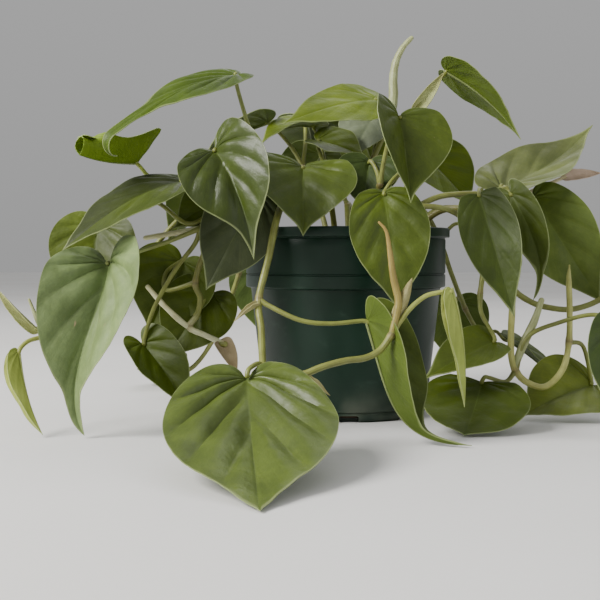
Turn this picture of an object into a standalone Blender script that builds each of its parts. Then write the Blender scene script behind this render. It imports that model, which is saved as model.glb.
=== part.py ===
"""Potted heartleaf philodendron: a nursery pot of potting mix with sixteen trailing leafy stems.

Metres, +Z up. The origin is the centre of the pot's flat bottom and the plant's front looks along -Y.
Sizes and places in the tables below are in millimetres and are scaled by MM when a shape is made.
"""
from dataclasses import dataclass, field
from math import ceil, cos, pi, radians, sin

import bmesh
import bpy
import numpy as np

MM = 0.001

# Pot
POT_HEIGHT = 128.5
RIM_RADIUS = 72.6
BAND_RADIUS = 69.8
SHOULDER_RADIUS = 66.4
BASE_RADIUS = 57.4
FOOT_HEIGHT = 7.0
FLANGE_LOW = 88.0
FLANGE_HIGH = 97.0
BAND_TOP = 122.0
GROOVE = 0.8
WALL = 2.2
FLOOR = 2.4
BASE_EDGE = 3.0
POT_SIDES = 32

# Slots that drain the pot, cut through the foot
SLOT_COUNT = 8
SLOT_WIDTH = 13.0
SLOT_HEIGHT = 4.6
SLOT_DEPTH = 14.0

# Potting mix
SOIL_TOP = 114.0
SOIL_MOUND = 2.4
SOIL_CLEARANCE = 0.3

# Stems, stalks and blades
STEM_CLEARANCE = 0.35
PLANTED_STRAIGHT = 118.0
STEM_TAPER = 0.85
NODE_SWELLING = 1.3
STALK_RADIUS = 1.6
STALK_TIP_RADIUS = 1.3
STALK_INSET = 1.2
STALK_DROP = 2.0
SHEATH_INSET = 2.5
BLADE_THICKNESS = 0.8
BLADE_ROWS = 6
BLADE_COLUMNS = 2
SHEATH_ROWS = 4
SHEATH_COLUMNS = 1
RIPPLES = 1.6

# Longest straight piece of a curved stem, and of an outline in parts of its length
STEM_PIECE = 18.0
OUTLINE_PIECE = 0.02

# Distance within which the points of one shape's seams are welded
WELD = 0.01

# Half outlines of a blade: across in parts of its width, and along in parts of its length
HEART = [(0.0, 0.0), (0.03, -0.06), (0.12, -0.125), (0.25, -0.125), (0.37, -0.05), (0.46, 0.08), (0.5, 0.24),
         (0.475, 0.42), (0.375, 0.61), (0.22, 0.78), (0.085, 0.9), (0.03, 0.96), (0.0, 1.0)]
OVATE = [(0.0, 0.0), (0.04, -0.04), (0.14, -0.065), (0.25, -0.035), (0.34, 0.02), (0.43, 0.12), (0.49, 0.25),
         (0.495, 0.38), (0.43, 0.55), (0.31, 0.7), (0.18, 0.81), (0.08, 0.91), (0.03, 0.96), (0.0, 1.0)]
DRIP = [(0.0, 0.0), (0.03, -0.06), (0.12, -0.12), (0.25, -0.115), (0.37, -0.04), (0.47, 0.09), (0.5, 0.22),
        (0.46, 0.38), (0.35, 0.53), (0.2, 0.66), (0.1, 0.74), (0.065, 0.82), (0.04, 0.92), (0.0, 1.0)]
LANCE = [(0.0, 0.0), (0.2, 0.0), (0.42, 0.06), (0.5, 0.2), (0.46, 0.4), (0.36, 0.6), (0.2, 0.8), (0.08, 0.93),
         (0.0, 1.0)]
BROAD = [(0.0, 0.0), (0.03, -0.05), (0.12, -0.1), (0.25, -0.095), (0.36, -0.03), (0.45, 0.08), (0.495, 0.22),
         (0.49, 0.36), (0.42, 0.5), (0.29, 0.62), (0.17, 0.72), (0.1, 0.81), (0.06, 0.9), (0.03, 0.96),
         (0.0, 1.0)]
LONG_TIP = [(0.0, 0.0), (0.03, -0.06), (0.12, -0.12), (0.25, -0.115), (0.38, -0.03), (0.47, 0.1), (0.5, 0.24),
            (0.46, 0.36), (0.34, 0.46), (0.19, 0.55), (0.11, 0.64), (0.08, 0.74), (0.06, 0.86), (0.04, 0.94),
            (0.0, 1.0)]
FUNNEL = [(0.0, 0.0), (0.1, -0.06), (0.25, -0.16), (0.4, -0.26), (0.49, -0.3), (0.51, -0.22), (0.45, -0.05),
          (0.4, 0.2), (0.36, 0.5), (0.32, 0.8), (0.26, 0.95), (0.13, 0.985), (0.0, 1.0)]
# Where along the length the veins stop fanning from the stalk and start to leave the midrib
FAN_END = 0.22


@dataclass
class Blade:
    """A leaf on its stalk, or a sheath, in millimetres and degrees."""
    node: int              # route point that it grows from
    base: tuple            # where the stalk meets the blade
    tip: tuple
    face: tuple            # way that the upper side looks
    width: float
    fold: tuple = (12, 12)     # rise of the left and right halves
    cup: float = 0             # extra rise at the margins
    bend: tuple = (10, 10)     # arch at the base and at the tip
    sway: tuple = (0, 0)       # sideways curve at the base and at the tip
    wave: float = 1.0          # height of the ripple in the margin
    lobe: float = 1.0          # size of the two lobes
    pull: float = 1.05         # how far the bends reach along the blade
    outline: list = field(default_factory=lambda: HEART)
    via: tuple = ()            # points on the stalk's way


@dataclass
class Shoot:
    """A root or a rolled new leaf, as a tapering cord."""
    node: int
    points: list
    radius: float
    end: float


@dataclass
class Vine:
    route: list            # the first point is the planted end, the second is just above the mix
    radius: float
    blades: list
    shoots: list = field(default_factory=list)
    green: tuple = (0.09, 0.2, 0.03)


def sheath(node, base, tip, face, width, fold=(55, 55), via=()):
    return Blade(node, base, tip, face, width, fold=fold, cup=30, bend=(5, 5), wave=0, outline=LANCE, via=via)


VINES = {
    "stem_front": Vine(
        route=[(-30, -42, 84), (-30, -42, 122), (-37, -52, 141), (-43, -64, 143), (-48, -81, 127),
               (-51, -91, 110), (-57, -104, 83), (-55, -117, 66), (-54, -131, 52), (-52, -143, 43),
               (-42, -150, 40), (-32, -151, 42), (-19, -149, 47), (-6, -145, 50), (5, -140, 51),
               (14, -136, 55), (21, -134, 64)],
        radius=2.3,
        blades=[
            Blade(9, (-61, -165, 44), (-49, -298, 2), (0, -0.35, 1), 90, fold=(8, 8), cup=-6,
                  bend=(-16, -14), wave=1.5, outline=OVATE, via=((-55, -152, 49),)),
            Blade(6, (9, -112, 71), (66, -146, 2), (0.8, -0.1, 0.6), 54, fold=(44, 72), bend=(-22, -49),
                  pull=1.5, outline=DRIP, via=((-50, -107, 79), (-32, -112, 71), (-14, -113, 69))),
            Blade(16, (56, -126, 90), (64, -128, 21), (-0.95, -0.3, 0), 18, fold=(75, 68), cup=14,
                  bend=(-12, -10), wave=0.5, outline=DRIP,
                  via=((25, -133, 70), (32, -131, 79), (41, -128, 86), (49, -126, 88))),
            sheath(16, (22, -133, 68), (31, -131, 97), (0.6, 0.8, -0.1), 13),
            sheath(6, (-56, -107, 80), (-72, -108, 70), (0, -0.5, 0.9), 10),
            sheath(11, (-31, -151, 41), (-15, -152, 31), (0, -0.5, 0.9), 9)],
        shoots=[
            Shoot(16, [(24, -133, 76), (25, -132, 84), (22, -131, 98), (20, -130, 113), (18, -129, 124),
                       (14, -128, 129)], 1.8, 0.7)],
        green=(0.11, 0.24, 0.035)),
    "stem_left": Vine(
        route=[(-50, -18, 84), (-50, -18, 122), (-62, -38, 146), (-78, -60, 147), (-95, -72, 127)],
        radius=2.2,
        blades=[
            Blade(4, (-152, -85, 106), (-161, -116, 2), (0, -1, 0.15), 75, fold=(22, 48), bend=(22, 8),
                  sway=(-8, 36), lobe=0.65, outline=DRIP, via=((-114, -76, 119), (-134, -80, 112))),
            Blade(3, (-165, -46, 130), (-171, -52, 72), (-0.1, -1, 0.2), 60,
                  via=((-102, -67, 130), (-125, -60, 144), (-148, -52, 142))),
            Blade(4, (-133, -60, 56), (-100, -84, 9), (0.2, -0.5, 0.8), 44, fold=(18, 52),
                  via=((-99, -71, 117), (-110, -69, 103), (-119, -66, 89), (-127, -63, 74))),
            Blade(3, (-84, -52, 148), (-114, -62, 127), (-0.2, -1, 0.2), 34)],
        shoots=[
            Shoot(4, [(-112, -69, 124), (-131, -66, 121)], 1.6, 1.4)],
        green=(0.15, 0.28, 0.07)),
    "stem_far_left": Vine(
        route=[(-54, 4, 84), (-54, 4, 122), (-68, 2, 146), (-92, -6, 150), (-118, -14, 132), (-140, -24, 104),
               (-160, -42, 80), (-176, -62, 65), (-188, -78, 58)],
        radius=2.0,
        blades=[
            Blade(8, (-206, -95, 51), (-187, -113, 2), (-0.9, -0.4, 0.15), 20, fold=(66, 60), cup=20,
                  bend=(9, 12), wave=0.4, outline=DRIP, via=((-190, -82, 59), (-200, -88, 57))),
            Blade(3, (-139, -46, 171), (-168, -88, 172), (0, 0.45, 0.9), 48, fold=(58, 52), bend=(-6, -10),
                  wave=0.3, outline=FUNNEL, via=((-108, -20, 156), (-130, -36, 161))),
            sheath(8, (-196, -80, 62), (-224, -80, 90), (-0.5, -0.8, 0.2), 16)],
        shoots=[
            Shoot(8, [(-196, -79, 66), (-203, -78, 82)], 1.8, 0.8)],
        green=(0.22, 0.36, 0.06)),
    "stem_low_left": Vine(
        route=[(-46, -34, 84), (-46, -34, 122), (-58, -46, 138), (-71, -56, 134), (-84, -60, 124),
               (-94, -60, 111), (-100, -58, 92), (-97, -57, 82), (-99, -56, 71), (-104, -57, 63),
               (-93, -62, 58), (-80, -70, 53)],
        radius=2.1,
        blades=[
            Blade(6, (-112, -28, 106), (-134, -36, 56), (0, -1, 0.3), 62,
                  via=((-120, -48, 87), (-122, -36, 98))),
            Blade(9, (-92, -34, 84), (-122, -52, 40), (0, -1, 0.3), 52, via=((-100, -46, 72),)),
            sheath(11, (-82, -69, 54), (-72, -74, 38), (0, -1, 0.2), 12)],
        shoots=[
            Shoot(9, [(-110, -56, 67), (-122, -53, 78), (-132, -50, 89)], 1.7, 1.5)],
        green=(0.1, 0.17, 0.03)),
    "stem_crown_left": Vine(
        route=[(-30, -14, 84), (-30, -14, 122), (-40, -24, 148), (-54, -36, 162), (-66, -46, 161)],
        radius=2.2,
        blades=[
            Blade(4, (-86, -80, 176), (-60, -104, 107), (-0.15, -1, 0.35), 60, fold=(18, 28), bend=(32, 10),
                  sway=(-14, -14), lobe=0.95, outline=BROAD, via=((-76, -62, 176),)),
            Blade(3, (-74, -35, 231), (-163, -98, 171), (0.35, 0.05, 1), 40, fold=(4, -12), bend=(20, 12),
                  lobe=0.45, outline=LONG_TIP, via=((-60, -33, 176), (-68, -31, 201), (-74, -33, 222))),
            Blade(3, (-107, -66, 158), (-177, -100, 113), (-0.3, -0.55, 0.8), 60, fold=(-3, 8),
                  bend=(20, 12), outline=OVATE, via=((-80, -52, 168),)),
            Blade(4, (-59, -61, 149), (-91, -83, 88), (0, -1, 0.25), 50, fold=(12, -20), lobe=1.5,
                  outline=OVATE, via=((-60, -52, 157),))]),
    "stem_middle": Vine(
        route=[(-8, -22, 84), (-8, -22, 122), (-12, -32, 148), (-18, -40, 162)],
        radius=2.2,
        blades=[
            Blade(3, (-30, -52, 168), (-30, -84, 122), (0, -0.8, 0.6), 70, fold=(25, 8), lobe=0.5),
            Blade(2, (-22, 22, 203), (-60, 6, 188), (-0.2, -0.3, 1), 46, bend=(30, 30),
                  via=((-14, -10, 170), (-18, 6, 190))),
            Blade(2, (-20, -6, 190), (14, -16, 176), (0.1, -0.5, 0.9), 44, via=((-14, -22, 166),))]),
    "stem_right_front": Vine(
        route=[(14, -34, 84), (14, -34, 122), (17, -46, 146), (20, -56, 156)],
        radius=2.2,
        blades=[
            Blade(3, (31, -72, 198), (36, -96, 142), (0.1, -1, 0.3), 62, fold=(52, 3), bend=(15, 5),
                  lobe=0.7, via=((22, -60, 170), (25, -64, 184))),
            Blade(3, (14, -42, 172), (8, -58, 138), (0, -0.9, 0.5), 42, via=((18, -48, 166),)),
            Blade(2, (20, -86, 149), (28, -104, 76), (0.05, -1, 0.15), 50, fold=(5, 5), bend=(15, 5),
                  lobe=0.6, outline=OVATE, via=((28, -58, 158), (33, -70, 163), (26, -80, 157)))]),
    "stem_right": Vine(
        route=[(36, -30, 84), (36, -30, 122), (42, -38, 138), (58, -37, 148), (76, -32, 151), (92, -28, 151),
               (102, -25, 149)],
        radius=2.2,
        blades=[
            Blade(5, (92, -50, 150), (103, -80, 71), (-0.3, -1, 0.2), 42, fold=(5, 42), bend=(25, 5),
                  lobe=0.1, outline=DRIP, via=((92, -38, 157),)),
            Blade(6, (109, -34, 151), (122, -46, 80), (-0.5, -1, 0.2), 27, bend=(20, -10), sway=(-20, -40),
                  outline=DRIP, via=((106, -29, 156),)),
            Blade(6, (108, -8, 157), (183, 36, 206), (-0.3, -0.6, 0.7), 56, fold=(15, 15), bend=(-10, -20),
                  via=((106, -16, 153),)),
            Blade(6, (134, 4, 145), (178, -8, 77), (-0.3, -1, 0.2), 53, outline=OVATE,
                  via=((112, -17, 152), (124, -6, 152))),
            sheath(6, (157, 22, 166), (188, 30, 170), (0, -1, 0.3), 10,
                   via=((116, -4, 151), (134, 14, 156)))],
        green=(0.13, 0.24, 0.05)),
    "stem_low_right": Vine(
        route=[(24, -46, 84), (24, -46, 122), (38, -57, 139), (58, -56, 141), (76, -45, 134), (86, -43, 120),
               (89, -44, 102), (87, -47, 84)],
        radius=2.0,
        blades=[
            Blade(7, (95, -60, 54), (45, -80, 31), (0.1, -0.5, 0.85), 37, lobe=0.3, via=((87, -52, 72),))],
        green=(0.11, 0.18, 0.04)),
    "stem_far_right": Vine(
        route=[(50, -2, 84), (50, -2, 122), (64, -8, 140), (84, -18, 140), (100, -34, 122), (107, -44, 100),
               (108, -48, 80), (107, -50, 60), (107, -51, 44), (110, -51, 34), (118, -50, 26), (131, -47, 23),
               (143, -43, 34), (148, -39, 52), (149, -36, 74), (149, -33, 93)],
        radius=2.4,
        blades=[
            Blade(9, (86, -62, 28), (67, -112, 2), (0, -0.3, 0.95), 68, fold=(16, 16), bend=(-10, -15),
                  lobe=0.3, outline=OVATE, via=((103, -54, 27), (92, -59, 30))),
            Blade(9, (167, -98, 66), (156, -132, 2), (0, -1, 0.2), 50,
                  via=((118, -50, 56), (138, -54, 66), (156, -72, 72))),
            Blade(13, (166, -40, 22), (112, -64, 4), (0, -0.45, 0.9), 54, outline=OVATE,
                  via=((156, -32, 48),))],
        shoots=[
            Shoot(9, [(111, -50, 40), (116, -48, 52), (123, -46, 66), (128, -45, 80)], 2.3, 2.0)],
        green=(0.12, 0.2, 0.04)),
    "stem_right_back": Vine(
        route=[(48, 16, 84), (48, 16, 122), (66, 14, 142), (86, 6, 140), (100, -6, 122), (106, -16, 104),
               (114, -21, 87), (126, -22, 78), (139, -22, 74), (155, -21, 73), (173, -20, 79), (190, -18, 92)],
        radius=2.3,
        blades=[
            Blade(11, (206, -22, 98), (226, -40, 30), (0.4, -1, 0.2), 56, via=((198, -18, 99),))],
        green=(0.11, 0.18, 0.04)),
    "stem_top": Vine(
        route=[(6, 6, 84), (6, 6, 122), (12, 8, 150), (20, 8, 178), (30, 8, 200)],
        radius=2.2,
        blades=[
            Blade(4, (21, -14, 217), (-45, -44, 196), (-0.1, -0.6, 0.8), 48, fold=(4, -6), bend=(12, 8),
                  lobe=0.8, via=((28, -4, 208),)),
            Blade(3, (20, 15, 208), (4, 2, 178), (-0.2, -0.8, 0.6), 42, via=((22, 14, 192),)),
            Blade(4, (71, 10, 241), (121, -10, 190), (0.5, 0.35, 0.8), 42, bend=(15, 15), lobe=0.5,
                  via=((42, 4, 206), (50, 2, 214), (60, 5, 228))),
            sheath(4, (48, 2, 210), (69, 2, 238), (0.3, -1, 0.2), 12, fold=(25, 25), via=((38, 5, 203),))],
        shoots=[
            Shoot(4, [(33, 14, 212), (35, 19, 224), (35, 20, 237), (37, 20, 249), (42, 20, 259),
                      (48, 20, 267)], 3.2, 1.4)],
        green=(0.2, 0.33, 0.06)),
    "stem_back_left": Vine(
        route=[(-26, 32, 84), (-26, 32, 122), (-38, 50, 146), (-58, 66, 144), (-72, 80, 122), (-80, 90, 96),
               (-90, 98, 68), (-102, 106, 42), (-118, 112, 20), (-138, 112, 9)],
        radius=2.1,
        blades=[
            Blade(3, (-92, 70, 172), (-138, 96, 118), (-0.6, 0.6, 0.5), 58, via=((-72, 66, 164),)),
            Blade(5, (-66, 118, 100), (-60, 140, 36), (0.1, 1, 0.3), 56, via=((-74, 104, 104),)),
            Blade(7, (-122, 100, 60), (-138, 100, 8), (-0.6, 0.2, 0.7), 46, via=((-114, 100, 58),)),
            Blade(9, (-146, 124, 20), (-146, 174, 2), (-0.3, 0.2, 1), 44, via=((-144, 114, 18),))]),
    "stem_back_middle": Vine(
        route=[(4, 42, 84), (4, 42, 122), (4, 62, 148), (8, 84, 144), (12, 94, 120), (10, 100, 92),
               (4, 108, 64), (-4, 118, 38), (-10, 132, 18)],
        radius=2.1,
        blades=[
            Blade(2, (-16, 74, 188), (-38, 106, 144), (-0.2, 1, 0.5), 54, via=((-4, 64, 168),)),
            Blade(4, (34, 116, 122), (46, 138, 56), (0.2, 1, 0.3), 60, via=((22, 104, 126),)),
            Blade(6, (-16, 132, 76), (-8, 178, 24), (0, 0.7, 0.8), 54, via=((-4, 118, 76),)),
            Blade(8, (-30, 152, 22), (-74, 170, 2), (-0.2, 0.3, 1), 48, via=((-18, 142, 22),))]),
    "stem_back_right": Vine(
        route=[(30, 34, 84), (30, 34, 122), (44, 50, 148), (62, 64, 144), (76, 74, 122), (86, 80, 96),
               (98, 86, 68), (112, 92, 44)],
        radius=2.1,
        blades=[
            Blade(2, (60, 62, 188), (104, 86, 146), (0.5, 0.7, 0.6), 56, via=((50, 54, 168),)),
            Blade(4, (104, 74, 132), (138, 90, 76), (0.8, 0.5, 0.3), 56, via=((88, 74, 134),)),
            Blade(6, (94, 112, 72), (98, 138, 14), (0.2, 1, 0.3), 56, via=((96, 98, 78),)),
            Blade(7, (132, 84, 44), (176, 70, 2), (0.4, -0.1, 1), 50, via=((122, 88, 50),))]),
    "stem_crown_back": Vine(
        route=[(-12, 24, 84), (-12, 24, 122), (-20, 34, 152), (-30, 40, 176)],
        radius=2.1,
        blades=[
            Blade(3, (-56, 38, 208), (-106, 36, 180), (-0.5, 0.1, 1), 54, via=((-40, 42, 192),)),
            Blade(3, (-26, 58, 212), (-20, 108, 182), (0, 0.5, 1), 54, via=((-28, 48, 194),)),
            Blade(2, (16, 46, 196), (30, 82, 160), (0.2, 0.8, 0.7), 48, via=((-6, 38, 172),))]),
}


def clear_scene():
    for thing in list(bpy.data.objects):
        bpy.data.objects.remove(thing, do_unlink=True)


def material(name, colour, roughness):
    made = bpy.data.materials.new(name)
    made.use_nodes = True
    shader = made.node_tree.nodes["Principled BSDF"]
    shader.inputs["Base Color"].default_value = (*colour, 1)
    shader.inputs["Roughness"].default_value = roughness
    shader.inputs["Metallic"].default_value = 0
    return made


def add_object(name, data, collection=None):
    thing = bpy.data.objects.new(name, data)
    (collection or bpy.context.scene.collection).objects.link(thing)
    return thing


def finish_smooth(thing, sharp_degrees):
    thing.data.shade_smooth()
    thing.data.set_sharp_from_angle(angle=radians(sharp_degrees))


def apply_modifiers(thing):
    """Keep the evaluated mesh as the object's own."""
    evaluated = thing.evaluated_get(bpy.context.evaluated_depsgraph_get())
    baked = bpy.data.meshes.new_from_object(evaluated)
    thing.modifiers.clear()
    thing.data = baked


def combine(thing, others, operation):
    """Join or cut an object with everything in a collection, then remove that collection."""
    boolean = thing.modifiers.new("combine", "BOOLEAN")
    boolean.operation = operation
    boolean.solver = "EXACT"
    boolean.operand_type = "COLLECTION"
    boolean.collection = others
    apply_modifiers(thing)
    for part in list(others.objects):
        bpy.data.objects.remove(part, do_unlink=True)
    bpy.data.collections.remove(others)


def new_collection(name):
    made = bpy.data.collections.new(name)
    bpy.context.scene.collection.children.link(made)
    return made


def close_seams(work):
    """Weld a shape's seams and turn its faces outwards."""
    bmesh.ops.remove_doubles(work, verts=work.verts, dist=WELD * MM)
    bmesh.ops.recalc_face_normals(work, faces=work.faces)


def turned_solid(name, profile, sides):
    """Spin a profile of (radius, height) points, which starts and ends on the axis, into a closed solid."""
    mesh = bpy.data.meshes.new(name)
    work = bmesh.new()
    corners = [work.verts.new((r * MM, 0, z * MM)) for r, z in profile]
    edges = [work.edges.new(pair) for pair in zip(corners, corners[1:])]
    bmesh.ops.spin(work, geom=corners + edges, cent=(0, 0, 0), axis=(0, 0, 1), angle=2 * pi, steps=sides)
    close_seams(work)
    work.to_mesh(mesh)
    work.free()
    return add_object(name, mesh)


def pot_inner_radius(height):
    """Radius of the pot's inside at a height, on its straight wall."""
    rise = (height - FOOT_HEIGHT) / (FLANGE_LOW - FOOT_HEIGHT)
    return BASE_RADIUS - WALL + rise * (SHOULDER_RADIUS - BASE_RADIUS)


def make_pot():
    outside = [
        (0, 0), (BASE_RADIUS - BASE_EDGE, 0), (BASE_RADIUS - BASE_EDGE / 2, BASE_EDGE / 2),
        (BASE_RADIUS - GROOVE, FOOT_HEIGHT - GROOVE),
        (BASE_RADIUS, FOOT_HEIGHT), (SHOULDER_RADIUS, FLANGE_LOW - GROOVE), (BAND_RADIUS - GROOVE, FLANGE_LOW),
        (BAND_RADIUS, FLANGE_LOW + GROOVE), (BAND_RADIUS, BAND_TOP - GROOVE), (RIM_RADIUS - GROOVE, BAND_TOP),
        (RIM_RADIUS, BAND_TOP + GROOVE), (RIM_RADIUS, POT_HEIGHT - GROOVE), (RIM_RADIUS - GROOVE, POT_HEIGHT)]
    inside = [
        (RIM_RADIUS - WALL, POT_HEIGHT), (BAND_RADIUS - WALL, BAND_TOP), (BAND_RADIUS - WALL, FLANGE_HIGH),
        (pot_inner_radius(FLANGE_LOW), FLANGE_LOW), (pot_inner_radius(FOOT_HEIGHT), FOOT_HEIGHT),
        (BASE_RADIUS - WALL - BASE_EDGE, FLOOR), (0, FLOOR)]
    pot = turned_solid("pot", outside + inside, POT_SIDES)
    cutters = new_collection("drain_slots")
    for number in range(SLOT_COUNT):
        turn = 2 * pi * number / SLOT_COUNT - pi / 2
        mesh = bpy.data.meshes.new("slot")
        work = bmesh.new()
        bmesh.ops.create_cube(work, size=1)
        work.to_mesh(mesh)
        work.free()
        slot = add_object("slot", mesh, cutters)
        slot.scale = (SLOT_DEPTH * MM, SLOT_WIDTH * MM, 2 * SLOT_HEIGHT * MM)
        slot.rotation_euler = (0, 0, turn)
        slot.location = (BASE_RADIUS * cos(turn) * MM, BASE_RADIUS * sin(turn) * MM, 0)
    combine(pot, cutters, "DIFFERENCE")
    pot.data.materials.append(material("dark_green_plastic", (0.02, 0.085, 0.06), 0.45))
    finish_smooth(pot, 30)
    return pot


def make_mix():
    gap = SOIL_CLEARANCE
    rim = BAND_RADIUS - WALL - gap
    profile = [
        (0, FLOOR + gap), (BASE_RADIUS - WALL - BASE_EDGE - gap, FLOOR + gap),
        (pot_inner_radius(FOOT_HEIGHT) - gap, FOOT_HEIGHT), (pot_inner_radius(FLANGE_LOW) - gap, FLANGE_LOW),
        (rim, FLANGE_HIGH), (rim, SOIL_TOP), (rim * 0.8, SOIL_TOP + SOIL_MOUND * 0.6),
        (rim * 0.4, SOIL_TOP + SOIL_MOUND), (0, SOIL_TOP + SOIL_MOUND)]
    mix = turned_solid("potting_mix", profile, POT_SIDES)
    holes = new_collection("stem_holes")
    for vine in VINES.values():
        x, y, low = vine.route[0]
        top = SOIL_TOP + 2 * SOIL_MOUND + STEM_CLEARANCE
        radii = [vine.radius + STEM_CLEARANCE] * 2
        add_cord("hole", [(x, y, low - STEM_CLEARANCE), (x, y, top)], radii, 1, holes)
    combine(mix, holes, "DIFFERENCE")
    mix.data.materials.append(material("potting_mix", (0.05, 0.035, 0.022), 0.95))
    return mix


def smooth_through(points, longest, before=None):
    """Catmull-Rom curve through the points, in pieces no longer than longest.

    The point before leads into the first one.
    """
    line = [np.array(p, float) for p in points]
    first = np.array(before, float) if before is not None else 2 * line[0] - line[1]
    line = [first] + line + [2 * line[-1] - line[-2]]
    curve = []
    for a, b, c, d in zip(line, line[1:], line[2:], line[3:]):
        pieces = ceil(np.linalg.norm(c - b) / longest)
        for step in range(pieces):
            t = step / pieces
            curve.append(0.5 * (2 * b + (c - a) * t + (2 * a - 5 * b + 4 * c - d) * t ** 2
                                + (3 * b - a - 3 * c + d) * t ** 3))
    curve.append(line[-2])
    return curve


def add_cord(name, points, radii, resolution, collection):
    """A closed tube along the points, as a curve with filled caps made a mesh."""
    curve = bpy.data.curves.new(name, "CURVE")
    curve.dimensions = "3D"
    curve.bevel_depth = MM
    curve.bevel_resolution = resolution
    curve.use_fill_caps = True
    spline = curve.splines.new("POLY")
    spline.points.add(len(points) - 1)
    for point, place, radius in zip(spline.points, points, radii):
        point.co = (*(v * MM for v in place), 1)
        point.radius = radius
    drawn = add_object(name + "_curve", curve)
    evaluated = drawn.evaluated_get(bpy.context.evaluated_depsgraph_get())
    mesh = bpy.data.meshes.new_from_object(evaluated)
    bpy.data.objects.remove(drawn, do_unlink=True)
    work = bmesh.new()
    work.from_mesh(mesh)
    close_seams(work)
    work.to_mesh(mesh)
    work.free()
    return add_object(name, mesh, collection)


def unit(vector):
    return vector / np.linalg.norm(vector)


def leant(vector, toward, degrees):
    return vector * cos(radians(degrees)) + toward * sin(radians(degrees))


def blade_axes(blade):
    """Base, tip, length, upper side and the midrib's directions at its two ends."""
    base, tip = np.array(blade.base, float), np.array(blade.tip, float)
    length = np.linalg.norm(tip - base)
    along = (tip - base) / length
    upper = np.array(blade.face, float)
    upper = unit(upper - along * upper.dot(along))
    left = np.cross(along, upper)
    start = unit(leant(leant(along, upper, blade.bend[0]), left, blade.sway[0]))
    end = unit(leant(leant(along, -upper, blade.bend[1]), -left, blade.sway[1]))
    return base, tip, length, upper, start, end


def blade_point(blade, across, along):
    """Place in space of a point given in parts of the blade's width and length."""
    base, tip, length, upper, start, end = blade_axes(blade)
    t = min(max(along, 0), 1)
    reach = length * blade.pull
    rib = ((2 * t ** 3 - 3 * t ** 2 + 1) * base + (t ** 3 - 2 * t ** 2 + t) * reach * start
           + (3 * t ** 2 - 2 * t ** 3) * tip + (t ** 3 - t ** 2) * reach * end)
    run = unit((6 * t * t - 6 * t) * (base - tip) + (3 * t * t - 4 * t + 1) * reach * start
               + (3 * t * t - 2 * t) * reach * end)
    rib = rib + run * min(along, 0) * length
    rise = unit(upper - run * run.dot(upper))
    side = np.cross(run, rise)
    half_share = abs(across) * 2
    is_left = across > 0
    angle = radians(blade.fold[0] if is_left else blade.fold[1]) + radians(blade.cup) * half_share / 2
    ripple = blade.wave * sin(2 * pi * RIPPLES * along + (0.4 if is_left else 2.3)) * half_share ** 2
    out = abs(across) * blade.width
    return rib + side * out * cos(angle) * (1 if is_left else -1) + rise * (out * sin(angle) + ripple)


def vein_rows(blade, rows, columns):
    """Half a blade as rows of (across, along) from the midrib to the margin, the way the veins run."""
    edge = np.array(smooth_through(blade.outline, OUTLINE_PIECE))
    edge[:, 1] = np.where(edge[:, 1] < 0, edge[:, 1] * blade.lobe, edge[:, 1])
    steps = np.linalg.norm(np.diff(edge, axis=0) * (0.75, 1), axis=1)
    travelled = np.concatenate([[0], np.cumsum(steps)]) / steps.sum()
    stops = np.linspace(0, 1, rows + 2)[1:]
    fans = blade.outline is not LANCE
    lines = []
    for x, y in zip(np.interp(stops, travelled, edge[:, 0]), np.interp(stops, travelled, edge[:, 1])):
        start = max(y - FAN_END, 0) / (1 - FAN_END) if fans else max(y, 0)
        middle = (0.55 * x, start + 0.22 * (y - start))
        lines.append([(2 * q * (1 - q) * middle[0] + q * q * x,
                       (1 - q) ** 2 * start + 2 * q * (1 - q) * middle[1] + q * q * y)
                      for q in np.linspace(0, 1, columns + 1)])
    lines[-1] = [(0.0, 1.0)] * (columns + 1)
    return lines


def add_blade(name, blade, collection):
    """A thin solid blade, split into triangles alike on both faces."""
    rows, columns = (SHEATH_ROWS, SHEATH_COLUMNS) if blade.outline is LANCE else (BLADE_ROWS, BLADE_COLUMNS)
    lines = vein_rows(blade, rows, columns)
    mesh = bpy.data.meshes.new(name)
    work = bmesh.new()
    made = {}

    def corner(across, along):
        key = (round(across, 6), round(along, 6))
        if key not in made:
            made[key] = work.verts.new(blade_point(blade, across, along) * MM)
        return made[key]

    for side in (1, -1):
        for near, far in zip(lines, lines[1:]):
            for column in range(columns):
                quad = [near[column], near[column + 1], far[column + 1], far[column]]
                loop = [corner(side * x, y) for x, y in quad]
                for triangle in ((loop[0], loop[1], loop[2]), (loop[0], loop[2], loop[3])):
                    if len(set(triangle)) == 3:
                        work.faces.new(triangle if side > 0 else triangle[::-1])
    work.to_mesh(mesh)
    work.free()
    thing = add_object(name, mesh, collection)
    solid = thing.modifiers.new("thickness", "SOLIDIFY")
    solid.thickness = BLADE_THICKNESS * MM
    solid.offset = 0
    apply_modifiers(thing)
    return thing


def stalk_path(vine, blade):
    """From the stem's node to just inside the blade's base, met from the side that the stalk comes from."""
    base, _, _, upper, start, _ = blade_axes(blade)
    points = [vine.route[blade.node], *blade.via]
    if blade.outline is LANCE:
        return smooth_through(points + [base + start * SHEATH_INSET], STEM_PIECE)
    arriving = unit(base - np.array(points[-1], float))
    side = -upper if arriving.dot(upper) > 0 else upper
    ahead = unit(arriving - upper * arriving.dot(upper))
    near = base - ahead * STALK_DROP + side * (STALK_DROP + BLADE_THICKNESS)
    return smooth_through(points + [near, base + start * STALK_INSET + side * BLADE_THICKNESS / 2], STEM_PIECE)


def tapered(first, last, count):
    return list(np.linspace(first, last, count))


def add_swelling(vine, node, collection):
    """The thicker joint of a stem, where several stalks and roots leave it."""
    mesh = bpy.data.meshes.new("swelling")
    work = bmesh.new()
    bmesh.ops.create_icosphere(work, subdivisions=1, radius=vine.radius * NODE_SWELLING * MM)
    bmesh.ops.translate(work, verts=work.verts, vec=[v * MM for v in vine.route[node]])
    work.to_mesh(mesh)
    work.free()
    add_object("swelling", mesh, collection)


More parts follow.
